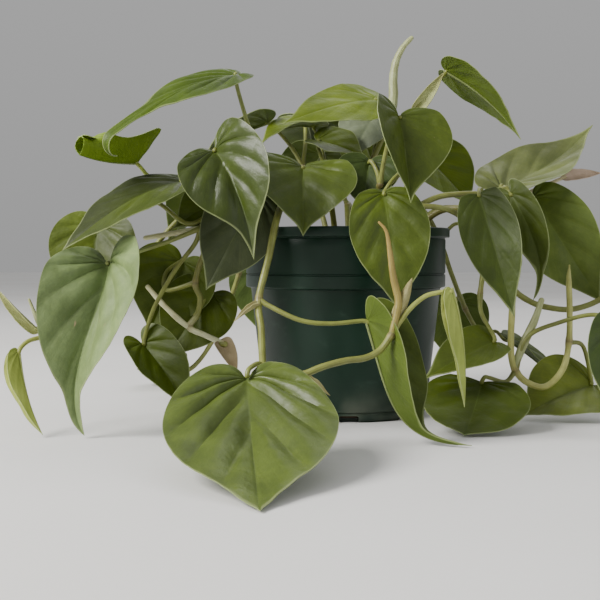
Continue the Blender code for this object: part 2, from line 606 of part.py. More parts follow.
def keep_largest_body(thing):
    """Fill the hollows that joining sealed, and drop loose scraps."""
    work = bmesh.new()
    work.from_mesh(thing.data)
    bodies, waiting = [], set(work.verts)
    while waiting:
        body, edge_of_body = set(), [waiting.pop()]
        while edge_of_body:
            point = edge_of_body.pop()
            body.add(point)
            reached = {edge.other_vert(point) for edge in point.link_edges} & waiting
            waiting -= reached
            edge_of_body.extend(reached)
        bodies.append(body)
    largest = max(bodies, key=len)
    for body in bodies:
        if body is not largest:
            bmesh.ops.delete(work, geom=list(body), context="VERTS")
    work.to_mesh(thing.data)
    work.free()


def make_vine(name, vine):
    x, y, low = vine.route[0]
    bend = smooth_through(vine.route[1:], STEM_PIECE, before=vine.route[0])
    path = [(x, y, low), (x, y, PLANTED_STRAIGHT)] + bend
    growth = new_collection(name + "_growth")
    stem = add_cord(name, path, tapered(vine.radius, vine.radius * STEM_TAPER, len(path)), 1, None)
    for number, blade in enumerate(vine.blades):
        stalk = stalk_path(vine, blade)
        add_cord(f"stalk_{number}", stalk, tapered(STALK_RADIUS, STALK_TIP_RADIUS, len(stalk)), 0, growth)
        add_blade(f"blade_{number}", blade, growth)
    for number, shoot in enumerate(vine.shoots):
        points = smooth_through([vine.route[shoot.node]] + shoot.points, STEM_PIECE)
        add_cord(f"shoot_{number}", points, tapered(shoot.radius, shoot.end, len(points)), 1, growth)
    nodes = [growing.node for growing in [*vine.blades, *vine.shoots]]
    for node in sorted(set(nodes)):
        if nodes.count(node) > 1:
            add_swelling(vine, node, growth)
    combine(stem, growth, "UNION")
    keep_largest_body(stem)
    stem.data.materials.clear()
    stem.data.materials.append(material(name + "_green", vine.green, 0.4))
    finish_smooth(stem, 40)
    return stem


def main():
    clear_scene()
    make_pot()
    make_mix()
    for name, vine in VINES.items():
        make_vine(name, vine)


main()
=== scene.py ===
from dataclasses import dataclass, field
from math import ceil, cos, pi, radians, sin
from random import Random

import bpy
import numpy as np
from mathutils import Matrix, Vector
from numpy.linalg import norm


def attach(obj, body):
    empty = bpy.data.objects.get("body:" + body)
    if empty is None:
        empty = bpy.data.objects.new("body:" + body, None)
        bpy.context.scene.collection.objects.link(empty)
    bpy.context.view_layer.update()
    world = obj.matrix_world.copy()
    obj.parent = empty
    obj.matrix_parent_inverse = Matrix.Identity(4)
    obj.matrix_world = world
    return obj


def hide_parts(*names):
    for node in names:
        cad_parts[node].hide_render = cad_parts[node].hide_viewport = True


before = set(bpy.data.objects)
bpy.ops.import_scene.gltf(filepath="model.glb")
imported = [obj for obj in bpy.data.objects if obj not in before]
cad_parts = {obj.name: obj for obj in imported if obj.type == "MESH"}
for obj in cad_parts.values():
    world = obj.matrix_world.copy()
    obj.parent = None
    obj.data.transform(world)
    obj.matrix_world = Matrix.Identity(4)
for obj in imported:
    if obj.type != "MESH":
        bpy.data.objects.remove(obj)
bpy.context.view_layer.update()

# Sizes below are in millimetres, in the frame's own directions
MM = 0.001

# Pot
POT_HEIGHT = 128.5
RIM_RADIUS = 72.6
BAND_RADIUS = 69.8
SHOULDER_RADIUS = 66.4
BASE_RADIUS = 57.4
FOOT_HEIGHT = 7.0
FLANGE_LOW = 88.0
FLANGE_HIGH = 97.0
BAND_TOP = 122.0
GROOVE = 0.8
WALL = 2.2
FLOOR = 2.4
BASE_EDGE = 3.0
POT_SIDES = 192
LIP_ROUND = 1.1

# Slots that drain the pot
SLOT_COUNT = 8
SLOT_WIDTH = 13.0
SLOT_HEIGHT = 4.6
SLOT_DEPTH = 14.0
SLOT_CORNER = 1.6

# Potting mix
SOIL_TOP = 114.0
SOIL_MOUND = 2.4
SOIL_CLEARANCE = 0.3
SOIL_RADIUS = BAND_RADIUS - WALL - SOIL_CLEARANCE
SOIL_LUMP = 1.3
SOIL_RINGS = 46
SOIL_SPOKES = 150
LUMPS = ((0.4, 0.25), (0.35, 0.5), (0.3, 0.9), (0.25, 1.5), (0.2, 2.2))    # share and pitch of each set
PEAT_FIBRES = 70
FIBRE_REACH = 62
FIBRE_POINTS = 7
FIBRE_RADIUS = 0.22

# Stems, stalks and shoots
PLANTED_LOW = 84           # height of a stem's foot in the mix
PLANTED_STRAIGHT = 118.0   # how high it rises straight up
PLANTED_HIGH = 122         # its first point above the mix
STEM_PIECE = 1.3           # longest straight piece of a stem
STEM_TAPER = 0.85
STEM_UNEVEN = 0.03
GROWING_TIP = 12.0         # length of the tapering end
JOINT_SWELLING = 0.26
JOINT_REACH = 2.6
RING_GROOVE = 0.07
RING_REACH = 0.9
RING_DARKER = 0.35
BROWN_REACH = 160          # how far from its foot a stem is browner
END_BLEND = 12             # length over which a stem takes its end's look
CANE_SIDES = 12
CANE_PIECE = 2.5           # longest straight piece of a cane
CAP_REACH = (1.0, 0.8, 0.45)   # a cane's rounded end, in parts of its radius
CAP_WIDTH = (0, 0.6, 0.89)
STALK_SIDES = 10
STALK_RADIUS = 1.6
STALK_TIP_RADIUS = 1.3
STALK_INSET = 1.2          # how far a stalk reaches into its blade
STALK_DROP = 2.0
STALK_GREENING = 40        # how far from the stem a stalk takes its leaf's green

# Sheaths
SHEATH_THICKNESS = 0.4
SHEATH_INSET = 2.5
SHEATH_ROWS = 26
SHEATH_HALF = 7
CRUMPLE = 0.35             # height of the wrinkles at a sheath's edge
CRUMPLE_REACH = 7
DRY_START = 0.45           # where along a sheath its dry tip starts
DRY_TONE = (1.0, 0.95, 0.86)   # a sheath's tip against its base

# Blades
CAD_BLADE = 0.8            # thickness of the frame's blades, which the stalks meet
BLADE_THICKNESS = 0.42
BLADE_PIECE = 1.7          # side of a blade's smallest squares
MARGIN_LENGTH = 1.45       # length of a margin, in parts of the blade's length
FEWEST_ROWS = 30
FINEST_ROWS = 84
FEWEST_HALF = 10
FINEST_HALF = 26
OUTLINE_PIECE = 0.02       # finest step along an outline, in parts of the blade
MERGE = 0.02               # points nearer than this are one
SINUS = 0.03               # where along the margin a blade's first row ends
CREASE = 1.0               # roundness of the fold along the midrib
RIPPLES = 1.6              # waves along a margin
RIPPLE_STARTS = (0.4, 2.3)     # where in a wave the left and right margins start
ROLLED_FULLY = 0.8         # where along a rolled blade its roll is widest
VEIN_PAIRS = 6
QUILT = 0.016              # height of the swelling between veins, in parts of the blade's length
SWELLS = ((0.007, 0.5), (0.0022, 0.15))    # height and reach of uneven swells, in parts of the length
SWELLS_START = 6           # how far from the midrib they reach their full height
TROUGH_DEPTH = 0.010       # depth and width of the valley along the midrib, in parts of the length
TROUGH_WIDTH = 0.055
MIDRIB_WIDTH = 0.9
MIDRIB_DEPTH = 0.35
RIB_RADIUS = 0.8           # radius of the midrib below a blade of the usual length
RIB_LEAF = 75              # that length
RIB_POINTS = 26
RIB_SIDES = 8
RIB_END = 0.94             # where along the blade it ends
RIB_TAPER = 0.8
UNEVEN_GREEN = 0.1
GREEN_REACH = 60           # size of the lighter and darker areas

# How much thicker rolled new leaves are in the middle
BULGES = {"spike": 0.65, "sprout": 0.3}

# Leaves whose swellings stand out more or less than usual
QUILTED = {"front": 1.7, "crown_left_heart": 1.6, "left_large": 1.5, "young_right": 0.3,
           "far_left_young": 0.3, "far_left_rolled": 0.3, "folded": 0.5, "right_dark": 0.45,
           "right_hooked": 0.45, "top_left": 0.4, "top_right": 0.4, "low_right_flat": 0.4,
           "surface_leaf": 0.7}

# Leaves with a higher gloss
GLOSSY = ("front", "crown_left_heart", "middle_heart")

# Painted light and shade on leaves whose halves differ in lightness: left and right, each half made lighter
# or darker as the light falls on it
HALF_PAINTED_LIGHT = {"left_large": (1.0, 1.45), "crown_left_side": (0.45, 0.8), "left_round": (1.0, 0.55),
              "crown_left_heart": (0.75, 0.95)}

# Damaged spots: across and along in parts of the width and length, and size in millimetres
SCARS = {
    "left_large": ((-0.12, 0.36, 0.9), (0.12, 0.4, 1.2), (-0.24, 0.38, 0.8)),
    "right_upper_heart": ((-0.3, 0.3, 1.0),),
}

# Finishes
LEAF_IOR = 1.38
PALE_MARGIN = (0.36, 0.42, 0.18)
CANE_RIDGES = 11
SHEATH_LINES = 9

# Camera and studio; the floor and the lights are in metres
CAMERA_PLACE = (-32, -740, 110)
CAMERA_DIP = 2.45
LENS = 63.0
SENSOR = 36.0
FLOOR_SPAN = 12.0
LIT_PLACE = (0, 0, 0.1)
ROOM_LIGHT = 0.56
HORIZON_SHARE = 0.66       # light from the horizon, as a share of that from above
BRIGHTEST_HEIGHT = 0.8

# Half outlines of a blade: across in parts of its width, and along in parts of its length
HEART = [(0.0, 0.0), (0.03, -0.06), (0.12, -0.125), (0.25, -0.125), (0.37, -0.05), (0.46, 0.08),
         (0.5, 0.24), (0.475, 0.41), (0.38, 0.57), (0.235, 0.72), (0.115, 0.83), (0.05, 0.905),
         (0.02, 0.96), (0.0, 1.0)]
OVATE = [(0.0, 0.0), (0.04, -0.04), (0.14, -0.065), (0.25, -0.035), (0.34, 0.02), (0.43, 0.12),
         (0.49, 0.25), (0.495, 0.38), (0.43, 0.55), (0.31, 0.7), (0.18, 0.81), (0.08, 0.91),
         (0.03, 0.96), (0.0, 1.0)]
DRIP = [(0.0, 0.0), (0.03, -0.06), (0.12, -0.12), (0.25, -0.115), (0.37, -0.04), (0.47, 0.09), (0.5, 0.22),
        (0.46, 0.38), (0.35, 0.53), (0.2, 0.66), (0.1, 0.74), (0.065, 0.82), (0.04, 0.92), (0.0, 1.0)]
BROAD = [(0.0, 0.0), (0.03, -0.05), (0.12, -0.1), (0.25, -0.095), (0.36, -0.03), (0.45, 0.08),
         (0.495, 0.22), (0.49, 0.36), (0.42, 0.5), (0.29, 0.62), (0.17, 0.71), (0.09, 0.79),
         (0.045, 0.88), (0.015, 0.95), (0.0, 1.0)]
LONG_TIP = [(0.0, 0.0), (0.03, -0.06), (0.12, -0.12), (0.25, -0.115), (0.38, -0.03), (0.47, 0.1),
            (0.5, 0.24), (0.46, 0.36), (0.34, 0.46), (0.21, 0.54), (0.15, 0.6), (0.13, 0.7),
            (0.11, 0.82), (0.06, 0.93), (0.0, 1.0)]
FUNNEL = [(0.0, 0.0), (0.1, -0.06), (0.25, -0.16), (0.4, -0.26), (0.49, -0.3), (0.51, -0.22), (0.45, -0.05),
          (0.38, 0.2), (0.37, 0.5), (0.42, 0.75), (0.45, 0.9), (0.38, 0.98), (0.2, 1.0), (0.0, 1.0)]
ROUNDED = [(0.0, 0.0), (0.04, -0.04), (0.14, -0.065), (0.25, -0.035), (0.34, 0.02), (0.43, 0.12),
           (0.49, 0.25), (0.5, 0.42), (0.46, 0.6), (0.38, 0.75), (0.26, 0.87), (0.12, 0.94),
           (0.04, 0.975), (0.0, 1.0)]
NARROW = [(0.0, 0.0), (0.12, -0.03), (0.3, 0.0), (0.42, 0.08), (0.5, 0.22), (0.5, 0.36), (0.4, 0.5),
          (0.3, 0.62), (0.24, 0.76), (0.14, 0.88), (0.05, 0.96), (0.0, 1.0)]
LANCE = [(0.0, 0.0), (0.2, 0.0), (0.42, 0.06), (0.5, 0.2), (0.46, 0.4), (0.36, 0.6), (0.2, 0.8),
         (0.08, 0.93), (0.0, 1.0)]
FAN_END = 0.3

# Colours of each look: a blade's upper side, a cane, or a bit of the mix; a few of the leaf looks are
# painted light or shade
LOOKS = {
    "front": (0.088, 0.126, 0.018),
    "mature": (0.058, 0.086, 0.004),
    # deep: painted shade, a darker copy of the mature green for leaves that lie in shade
    "deep": (0.038, 0.060, 0.003),
    "light": (0.105, 0.148, 0.005),
    "bright": (0.055, 0.095, 0.002),
    # sunlit: painted light, a brighter green standing in for the light that shines through the rolled leaf
    "sunlit": (0.175, 0.270, 0.006),
    # grey: painted sheen, a pale grey-green standing in for the sheen on a leaf at the back
    "grey": (0.170, 0.200, 0.130),
    "grey_deep": (0.052, 0.068, 0.026),
    "pale": (0.138, 0.192, 0.072),
    "pale_olive": (0.125, 0.150, 0.045),
    "young": (0.420, 0.480, 0.110),
    # shade: painted shade, a darker green for leaves that lie in shade
    "shade": (0.034, 0.058, 0.008),
    "olive": (0.074, 0.105, 0.006),
    # light_olive: painted light, a lighter olive for a low leaf so that it looks lit though it lies in the
    # shadow of the others
    "light_olive": (0.120, 0.155, 0.012),
    "sheath": (0.420, 0.400, 0.190),
    "pink_sheath": (0.600, 0.460, 0.360),
    "young_sheath": (0.430, 0.470, 0.200),
    "bract": (0.370, 0.300, 0.180),
    "spike": (0.270, 0.235, 0.055),
    "sprout": (0.360, 0.410, 0.210),
    "root": (0.560, 0.570, 0.360),
    "stem": (0.200, 0.222, 0.045),
    "pale_stem": (0.450, 0.460, 0.140),
    "joint": (0.290, 0.220, 0.090),
    "stalk": (0.260, 0.280, 0.060),
    "rib": (0.270, 0.340, 0.120),
    "peat": (0.052, 0.036, 0.023),
    "chip": (0.130, 0.075, 0.040),
    "grain": (0.660, 0.640, 0.580),
    "fibre": (0.200, 0.130, 0.075),
}
LOOKS = {name: np.array(colour) for name, colour in LOOKS.items()}


@dataclass
class Crumb:
    """A kind of bit strewn over the mix, with its least and most in each range."""
    kind: str
    count: int
    long: tuple
    wide: tuple            # in parts of its length
    high: tuple
    shade: tuple
    sunk: float            # part of its height that is in the mix


CRUMBS = (Crumb("chip", 260, (2.2, 7.0), (0.35, 0.7), (0.18, 0.4), (0.35, 1.25), 0.35),
          Crumb("grain", 46, (1.3, 3.2), (0.7, 1), (0.6, 0.9), (0.75, 1.05), 0.3))


@dataclass
class Blade:
    """A leaf on its stalk, or a sheath, in millimetres and degrees."""
    name: str
    look: str
    node: int              # route point that it grows from
    base: tuple            # where the stalk meets the blade
    tip: tuple
    face: tuple            # way that the upper side looks
    width: float
    fold: tuple = (12, 12)     # rise of the left and right halves
    cup: float = 0             # extra rise at the margins
    bend: tuple = (10, 10)     # arch at the base and at the tip
    sway: tuple = (0, 0)       # sideways curve at the base and at the tip
    wave: float = 1.0          # height of the ripple in the margin
    lobe: float = 1.0          # size of the two lobes
    pull: float = 1.05         # how far the bends reach along the blade
    outline: list = field(default_factory=lambda: HEART)
    via: tuple = ()            # points on the stalk's way
    fan: float = 2.0           # how closely the side veins gather at the stalk
    curl: tuple = ()           # where the tip's curl starts along the blade, and how far it turns
    roll: tuple = ()           # flat width before the margin's roll at the tip, and the roll's radius

    @property
    def length(self):
        return norm(np.subtract(self.tip, self.base))


@dataclass
class Shoot:
    """A root or a rolled new leaf, as a tapering cord."""
    name: str
    look: str
    node: int
    points: list
    radius: float
    end: float


@dataclass
class Vine:
    foot: tuple            # where it stands in the mix
    route: list            # points above the mix; two in it are added in front
    radius: float
    blades: list
    shoots: list = field(default_factory=list)
    end_look: str = "stem"     # look of the stem beyond the end node
    end_node: int = 1

    def __post_init__(self):
        self.route = [(*self.foot, PLANTED_LOW), (*self.foot, PLANTED_HIGH), *self.route]


def sheath(name, look, node, base, tip, face, width, fold=(55, 55), via=()):
    return Blade(name, look, node, base, tip, face, width, fold=fold, cup=30, bend=(5, 5), wave=0,
                 outline=LANCE, via=via)


VINES = {
    "stem_front": Vine(
        (-30, -42), [(-37, -52, 141), (-43, -64, 143), (-48, -81, 127),
         (-51, -91, 110), (-57, -104, 83), (-55, -117, 66), (-54, -131, 52), (-52, -143, 43),
         (-42, -150, 40), (-32, -151, 42), (-19, -149, 47), (-6, -145, 50), (5, -140, 51), (14, -136, 55),
         (21, -134, 64)], 2.3,
        [Blade("front", "front", 9, (-61, -165, 44), (-49, -298, 2), (0, -0.35, 1), 90, fold=(8, 8), cup=-6,
               bend=(-16, -14), wave=1.5, outline=OVATE, via=((-55, -152, 49),), fan=3.2),
         Blade("folded", "mature", 6, (9, -112, 71), (66, -146, 2), (0.8, -0.1, 0.6), 54, fold=(44, 72),
               bend=(-22, -49), pull=1.5, outline=DRIP, via=((-50, -107, 79), (-32, -112, 71),
               (-14, -113, 69))),
         Blade("young_right", "young", 16, (56, -126, 90), (64, -128, 21), (-0.95, -0.3, 0), 20,
               fold=(75, 68), cup=14, bend=(-12, -10), wave=0.5, outline=NARROW, via=((25, -133, 70),
               (32, -131, 79), (41, -128, 86), (49, -126, 88))),
         sheath("tip_sheath", "sheath", 16, (23, -133, 72), (33, -132, 97), (0.1, 1, 0), 12, fold=(38, 38)),
         sheath("bract_high", "sheath", 6, (-56, -107, 80), (-72, -108, 70), (0, -0.5, 0.9), 10),
         sheath("bract_low", "sheath", 11, (-31, -151, 41), (-15, -152, 31), (0, -0.5, 0.9), 9)],
        shoots=[Shoot("tip_spike", "spike", 16, [(24, -133, 76), (25, -132, 84), (22, -131, 98),
                      (20, -130, 113), (18, -129, 124), (14, -128, 129)], 1.8, 0.7)]),
    "stem_left": Vine(
        (-50, -18), [(-62, -38, 146), (-78, -60, 147), (-95, -72, 127)], 2.2,
        [Blade("left_large", "pale", 4, (-152, -85, 106), (-161, -116, 2), (0, -1, 0.15), 75, fold=(22, 48),
               bend=(22, 8), sway=(-8, 36), lobe=0.65, outline=DRIP, via=((-114, -76, 119),
               (-134, -80, 112))),
         Blade("left_round", "olive", 3, (-165, -46, 130), (-171, -52, 72), (-0.1, -1, 0.2), 60,
               via=((-102, -67, 130), (-125, -60, 144), (-148, -52, 142))),
         Blade("left_dark", "mature", 4, (-134, -60, 53), (-100, -84, 9), (0.2, -0.5, 0.8), 40,
               fold=(18, 52), via=((-99, -71, 117), (-110, -69, 103), (-119, -66, 89), (-127, -63, 74))),
         Blade("left_inner", "mature", 3, (-84, -52, 148), (-114, -62, 127), (-0.2, -1, 0.2), 34)],
        shoots=[Shoot("left_root", "root", 4, [(-112, -69, 124), (-131, -66, 121)], 1.8, 1.6)]),
    "stem_far_left": Vine(
        (-54, 4), [(-68, 2, 146), (-92, -6, 150), (-118, -14, 132), (-140, -24, 104),
         (-160, -42, 80), (-176, -62, 65), (-188, -78, 58)], 2.0,
        [Blade("far_left_young", "young", 8, (-206, -95, 51), (-187, -113, 2), (-0.9, -0.4, 0.15), 21,
               fold=(66, 60), cup=20, bend=(9, 12), wave=0.4, outline=NARROW, via=((-190, -82, 59),
               (-200, -88, 57))),
         Blade("far_left_rolled", "sunlit", 3, (-139, -46, 171), (-168, -88, 172), (0, 0.45, 0.9), 48,
               fold=(58, 52), bend=(-6, -10), wave=0.3, outline=FUNNEL, via=((-108, -20, 156),
               (-130, -36, 161)), roll=(5.0, 5.8)),
         sheath("far_left_sheath", "young_sheath", 8, (-196, -80, 62), (-224, -80, 90), (-0.5, -0.8, 0.2),
                16)],
        shoots=[Shoot("far_left_spike", "sprout", 8, [(-196, -79, 66), (-203, -78, 82)], 1.8, 0.8)]),
    "stem_low_left": Vine(
        (-46, -34), [(-58, -46, 138), (-71, -56, 134), (-84, -60, 124),
         (-94, -60, 111), (-100, -58, 92), (-97, -57, 82), (-99, -56, 71), (-104, -57, 63), (-93, -62, 58),
         (-80, -70, 53)], 2.1,
        [Blade("low_left_upper", "olive", 6, (-112, -28, 106), (-134, -36, 56), (0, -1, 0.3), 62,
               via=((-120, -48, 87), (-122, -36, 98))),
         Blade("low_left_lower", "olive", 9, (-92, -34, 84), (-122, -52, 40), (0, -1, 0.3), 52,
               via=((-100, -46, 72),)),
         sheath("low_left_bract", "bract", 11, (-84, -69, 55), (-72, -74, 36), (0.3, -1, 0.2), 17,
                fold=(38, 24))],
        shoots=[Shoot("low_left_root", "root", 9, [(-110, -56, 67), (-122, -53, 78), (-132, -50, 89)], 2.0,
                      1.7)],
        end_look="root", end_node=8),
    "stem_crown_left": Vine(
        (-30, -14), [(-40, -24, 148), (-54, -36, 162), (-66, -46, 161)], 2.2,
        [Blade("crown_left_heart", "deep", 4, (-86, -80, 176), (-60, -104, 107), (-0.15, -1, 0.35), 60,
               fold=(18, 28), bend=(32, 10), sway=(-14, -14), lobe=0.95, outline=BROAD,
               via=((-76, -62, 176),)),
         Blade("crown_left_top", "bright", 3, (-74, -35, 231), (-163, -98, 171), (0.35, 0.05, 1), 40,
               fold=(4, -12), bend=(20, 12), lobe=0.45, outline=LONG_TIP, curl=(0.83, 150),
               via=((-60, -33, 176), (-68, -31, 201), (-74, -33, 222))),
         Blade("crown_left_side", "mature", 3, (-107, -66, 158), (-177, -100, 113), (-0.3, -0.55, 0.8), 60,
               fold=(-3, 8), bend=(20, 12), outline=OVATE, via=((-80, -52, 168),)),
         Blade("crown_left_low", "grey_deep", 4, (-59, -61, 149), (-91, -83, 88), (0, -1, 0.25), 50,
               fold=(12, -20), lobe=1.5, outline=OVATE, via=((-60, -52, 157),))]),
    "stem_middle": Vine(
        (-8, -22), [(-12, -32, 148), (-18, -40, 162)], 2.2,
        [Blade("middle_heart", "mature", 3, (-30, -52, 168), (-30, -84, 122), (0, -0.8, 0.6), 70,
               fold=(25, 8), lobe=0.5),
         Blade("middle_back", "light", 2, (-22, 22, 203), (-60, 6, 188), (-0.2, -0.3, 1), 46, bend=(30, 30),
               via=((-14, -10, 170), (-18, 6, 190))),
         Blade("middle_small", "olive", 2, (-20, -6, 190), (14, -16, 176), (0.1, -0.5, 0.9), 44,
               via=((-14, -22, 166),))]),
    "stem_right_front": Vine(
        (14, -34), [(17, -46, 146), (20, -56, 156)], 2.2,
        [Blade("right_upper_heart", "mature", 3, (31, -72, 198), (36, -96, 142), (0.1, -1, 0.3), 62,
               fold=(52, 3), bend=(15, 5), lobe=0.7, via=((22, -60, 170), (25, -64, 184))),
         Blade("right_inner", "shade", 3, (14, -42, 172), (8, -58, 138), (0, -0.9, 0.5), 42,
               via=((18, -48, 166),)),
         Blade("right_heart", "mature", 2, (20, -86, 149), (28, -104, 76), (0.05, -1, 0.15), 50,
               fold=(5, 5), bend=(15, 5), lobe=0.6, outline=OVATE, via=((28, -58, 158), (33, -70, 163),
               (26, -80, 157)))]),
    "stem_right": Vine(
        (36, -30), [(42, -38, 138), (58, -37, 148), (76, -32, 151), (92, -28, 151),
         (102, -25, 149)], 2.2,
        [Blade("right_dark", "deep", 5, (85, -50, 150), (103, -80, 71), (-0.2, -1, 0.2), 38, fold=(8, 12),
               bend=(18, 5), lobe=0.3, outline=OVATE, via=((88, -38, 154),)),
         Blade("right_hooked", "mature", 6, (109, -34, 151), (122, -46, 80), (-0.5, -1, 0.2), 27,
               bend=(20, -10), sway=(-20, -40), outline=DRIP, via=((106, -29, 156),)),
         Blade("right_rising", "pale_olive", 6, (108, -8, 157), (183, 36, 206), (-0.3, -0.6, 0.7), 56,
               fold=(15, 15), bend=(-10, -20), via=((106, -16, 153),)),
         Blade("right_hanging", "front", 6, (132, 4, 151), (178, -8, 77), (-0.3, -1, 0.2), 56,
               outline=OVATE, via=((112, -17, 152), (122, -6, 154))),
         sheath("right_sheath", "pink_sheath", 6, (157, 22, 166), (188, 30, 170), (0, -1, 0.3), 11,
                fold=(25, 25), via=((116, -4, 151), (134, 14, 156)))]),
    "stem_low_right": Vine(
        (24, -46), [(38, -57, 139), (58, -56, 141), (76, -45, 134), (86, -43, 120),
         (89, -44, 102), (87, -47, 84)], 2.0,
        [Blade("low_right_flat", "olive", 7, (95, -60, 54), (45, -80, 31), (0.1, -0.5, 0.85), 37, lobe=0.3,
               via=((87, -52, 72),))]),
    "stem_far_right": Vine(
        (50, -2), [(64, -8, 140), (84, -18, 140), (100, -34, 122), (107, -44, 100),
         (108, -48, 80), (107, -50, 60), (107, -51, 44), (110, -51, 34), (118, -50, 26), (131, -47, 23),
         (143, -43, 34), (148, -39, 52), (149, -36, 74), (149, -33, 93), (150, -30, 103)], 2.4,
        [Blade("surface_leaf", "mature", 9, (86, -62, 28), (67, -112, 2), (0, -0.3, 0.95), 68, fold=(7, 7),
               bend=(-10, -15), lobe=0.3, outline=ROUNDED, via=((103, -54, 27), (92, -59, 30))),
         Blade("far_right_edge", "shade", 9, (167, -98, 66), (156, -132, 2), (0, -1, 0.2), 50,
               via=((118, -50, 56), (138, -54, 66), (156, -72, 72))),
         Blade("far_right_olive", "light_olive", 13, (168, -26, 22), (115, -50, 4), (0, -0.45, 0.9), 60,
               fold=(28, 5), outline=OVATE, via=((160, -30, 48),))],
        shoots=[Shoot("far_right_shoot", "sprout", 9, [(111, -50, 40), (116, -48, 52), (123, -46, 66),
                      (128, -45, 80)], 2.3, 2.0)],
        end_look="pale_stem", end_node=5),
    "stem_right_back": Vine(
        (48, 16), [(66, 14, 142), (86, 6, 140), (100, -6, 122), (106, -16, 104),
         (114, -21, 87), (126, -22, 78), (139, -22, 74), (155, -21, 73), (173, -20, 79),
         (190, -18, 92)], 2.3,
        [Blade("right_outer", "shade", 11, (206, -22, 98), (226, -40, 30), (0.4, -1, 0.2), 56,
               via=((198, -18, 99),))]),
    "stem_top": Vine(
        (6, 6), [(12, 8, 150), (20, 8, 178), (30, 8, 200)], 2.2,
        [Blade("top_left", "light", 4, (21, -14, 217), (-45, -44, 196), (-0.1, -0.6, 0.8), 48, fold=(4, -6),
               bend=(12, 8), lobe=0.8, via=((28, -4, 208),)),
         Blade("top_grey", "grey", 3, (20, 15, 208), (4, 2, 178), (-0.2, -0.8, 0.6), 42,
               via=((22, 14, 192),)),
         Blade("top_right", "mature", 4, (71, 10, 241), (121, -10, 190), (0.5, 0.35, 0.8), 40, fold=(3, 3),
               bend=(15, 15), lobe=0.5, via=((42, 4, 206), (50, 2, 214), (60, 5, 228))),
         sheath("top_sheath", "young_sheath", 4, (48, 2, 210), (69, 2, 238), (0.3, -1, 0.2), 12,
                fold=(25, 25), via=((38, 5, 203),))],
        shoots=[Shoot("top_spike", "sprout", 4, [(33, 14, 212), (35, 19, 224), (35, 20, 237), (37, 20, 249),
                      (42, 20, 259), (48, 20, 265.5)], 3.4, 1.6)]),
    "stem_back_left": Vine(
        (-26, 32), [(-38, 50, 146), (-58, 66, 144), (-72, 80, 122), (-80, 90, 96),
         (-90, 98, 68), (-102, 106, 42), (-118, 112, 20), (-138, 112, 9)], 2.1,
        [Blade("back_left_high", "mature", 3, (-92, 70, 172), (-138, 96, 118), (-0.6, 0.6, 0.5), 58,
               via=((-72, 66, 164),)),
         Blade("back_left_upper", "shade", 5, (-66, 118, 100), (-60, 140, 36), (0.1, 1, 0.3), 56,
               via=((-74, 104, 104),)),
         Blade("back_left_lower", "mature", 7, (-122, 100, 60), (-138, 100, 8), (-0.6, 0.2, 0.7), 46,
               via=((-114, 100, 58),)),
         Blade("back_left_low", "mature", 9, (-146, 124, 20), (-146, 174, 2), (-0.3, 0.2, 1), 44,
               via=((-144, 114, 18),))]),
    "stem_back_middle": Vine(
        (4, 42), [(4, 62, 148), (8, 84, 144), (12, 94, 120), (10, 100, 92), (4, 108, 64),
         (-4, 118, 38), (-10, 132, 18)], 2.1,
        [Blade("back_middle_high", "mature", 2, (-16, 74, 188), (-38, 106, 144), (-0.2, 1, 0.5), 54,
               via=((-4, 64, 168),)),
         Blade("back_middle_upper", "mature", 4, (34, 116, 122), (46, 138, 56), (0.2, 1, 0.3), 60,
               via=((22, 104, 126),)),
         Blade("back_middle_lower", "light", 6, (-16, 132, 76), (-8, 178, 24), (0, 0.7, 0.8), 54,
               via=((-4, 118, 76),)),
         Blade("back_middle_low", "mature", 8, (-30, 152, 22), (-74, 170, 2), (-0.2, 0.3, 1), 48,
               via=((-18, 142, 22),))]),
    "stem_back_right": Vine(
        (30, 34), [(44, 50, 148), (62, 64, 144), (76, 74, 122), (86, 80, 96),
         (98, 86, 68), (112, 92, 44)], 2.1,
        [Blade("back_right_high", "light", 2, (60, 62, 188), (104, 86, 146), (0.5, 0.7, 0.6), 56,
               via=((50, 54, 168),)),
         Blade("back_right_upper", "mature", 4, (104, 74, 132), (138, 90, 76), (0.8, 0.5, 0.3), 56,
               via=((88, 74, 134),)),
         Blade("back_right_lower", "mature", 6, (94, 112, 72), (98, 138, 14), (0.2, 1, 0.3), 56,
               via=((96, 98, 78),)),
         Blade("back_right_low", "mature", 7, (132, 84, 44), (176, 70, 2), (0.4, -0.1, 1), 50,
               via=((122, 88, 50),))]),
    "stem_crown_back": Vine(
        (-12, 24), [(-20, 34, 152), (-30, 40, 176)], 2.1,
        [Blade("crown_back_left", "mature", 3, (-56, 38, 208), (-106, 36, 180), (-0.5, 0.1, 1), 54,
               via=((-40, 42, 192),)),
         Blade("crown_back_middle", "mature", 3, (-26, 58, 212), (-20, 108, 182), (0, 0.5, 1), 54,
               via=((-28, 48, 194),)),
         Blade("crown_back_right", "light", 2, (16, 46, 196), (30, 82, 160), (0.2, 0.8, 0.7), 48,
               via=((-6, 38, 172),))]),
}


def pick(*things):
    """Make these the only ones that an operator acts on, the first foremost."""
    bpy.ops.object.select_all(action="DESELECT")
    for thing in things:
        thing.select_set(True)
    bpy.context.view_layer.objects.active = things[0]


def start_from(add_primitive, **sizes):
    """A new primitive, with nothing else selected."""
    bpy.ops.object.select_all(action="DESELECT")
    add_primitive(**sizes)
    return bpy.context.object


def read_points(thing):
    places = np.zeros(len(thing.data.vertices) * 3)
    thing.data.vertices.foreach_get("co", places)
    return places.reshape(-1, 3)


def write_points(thing, places):
    thing.data.vertices.foreach_set("co", np.asarray(places, float).ravel())
    thing.data.update()


def point_normals(thing):
    normals = np.zeros(len(thing.data.vertices) * 3)
    thing.data.vertices.foreach_get("normal", normals)
    return normals.reshape(-1, 3)


def add_measure(thing, name, values):
    """Keep a number at each point, for a finish to read."""
    made = thing.data.attributes.new(name, "FLOAT", "POINT")
    made.data.foreach_set("value", np.asarray(values, np.float32))


def read_measure(thing, name):
    values = np.zeros(len(thing.data.vertices), np.float32)
    thing.data.attributes[name].data.foreach_get("value", values)
    return values.astype(float)


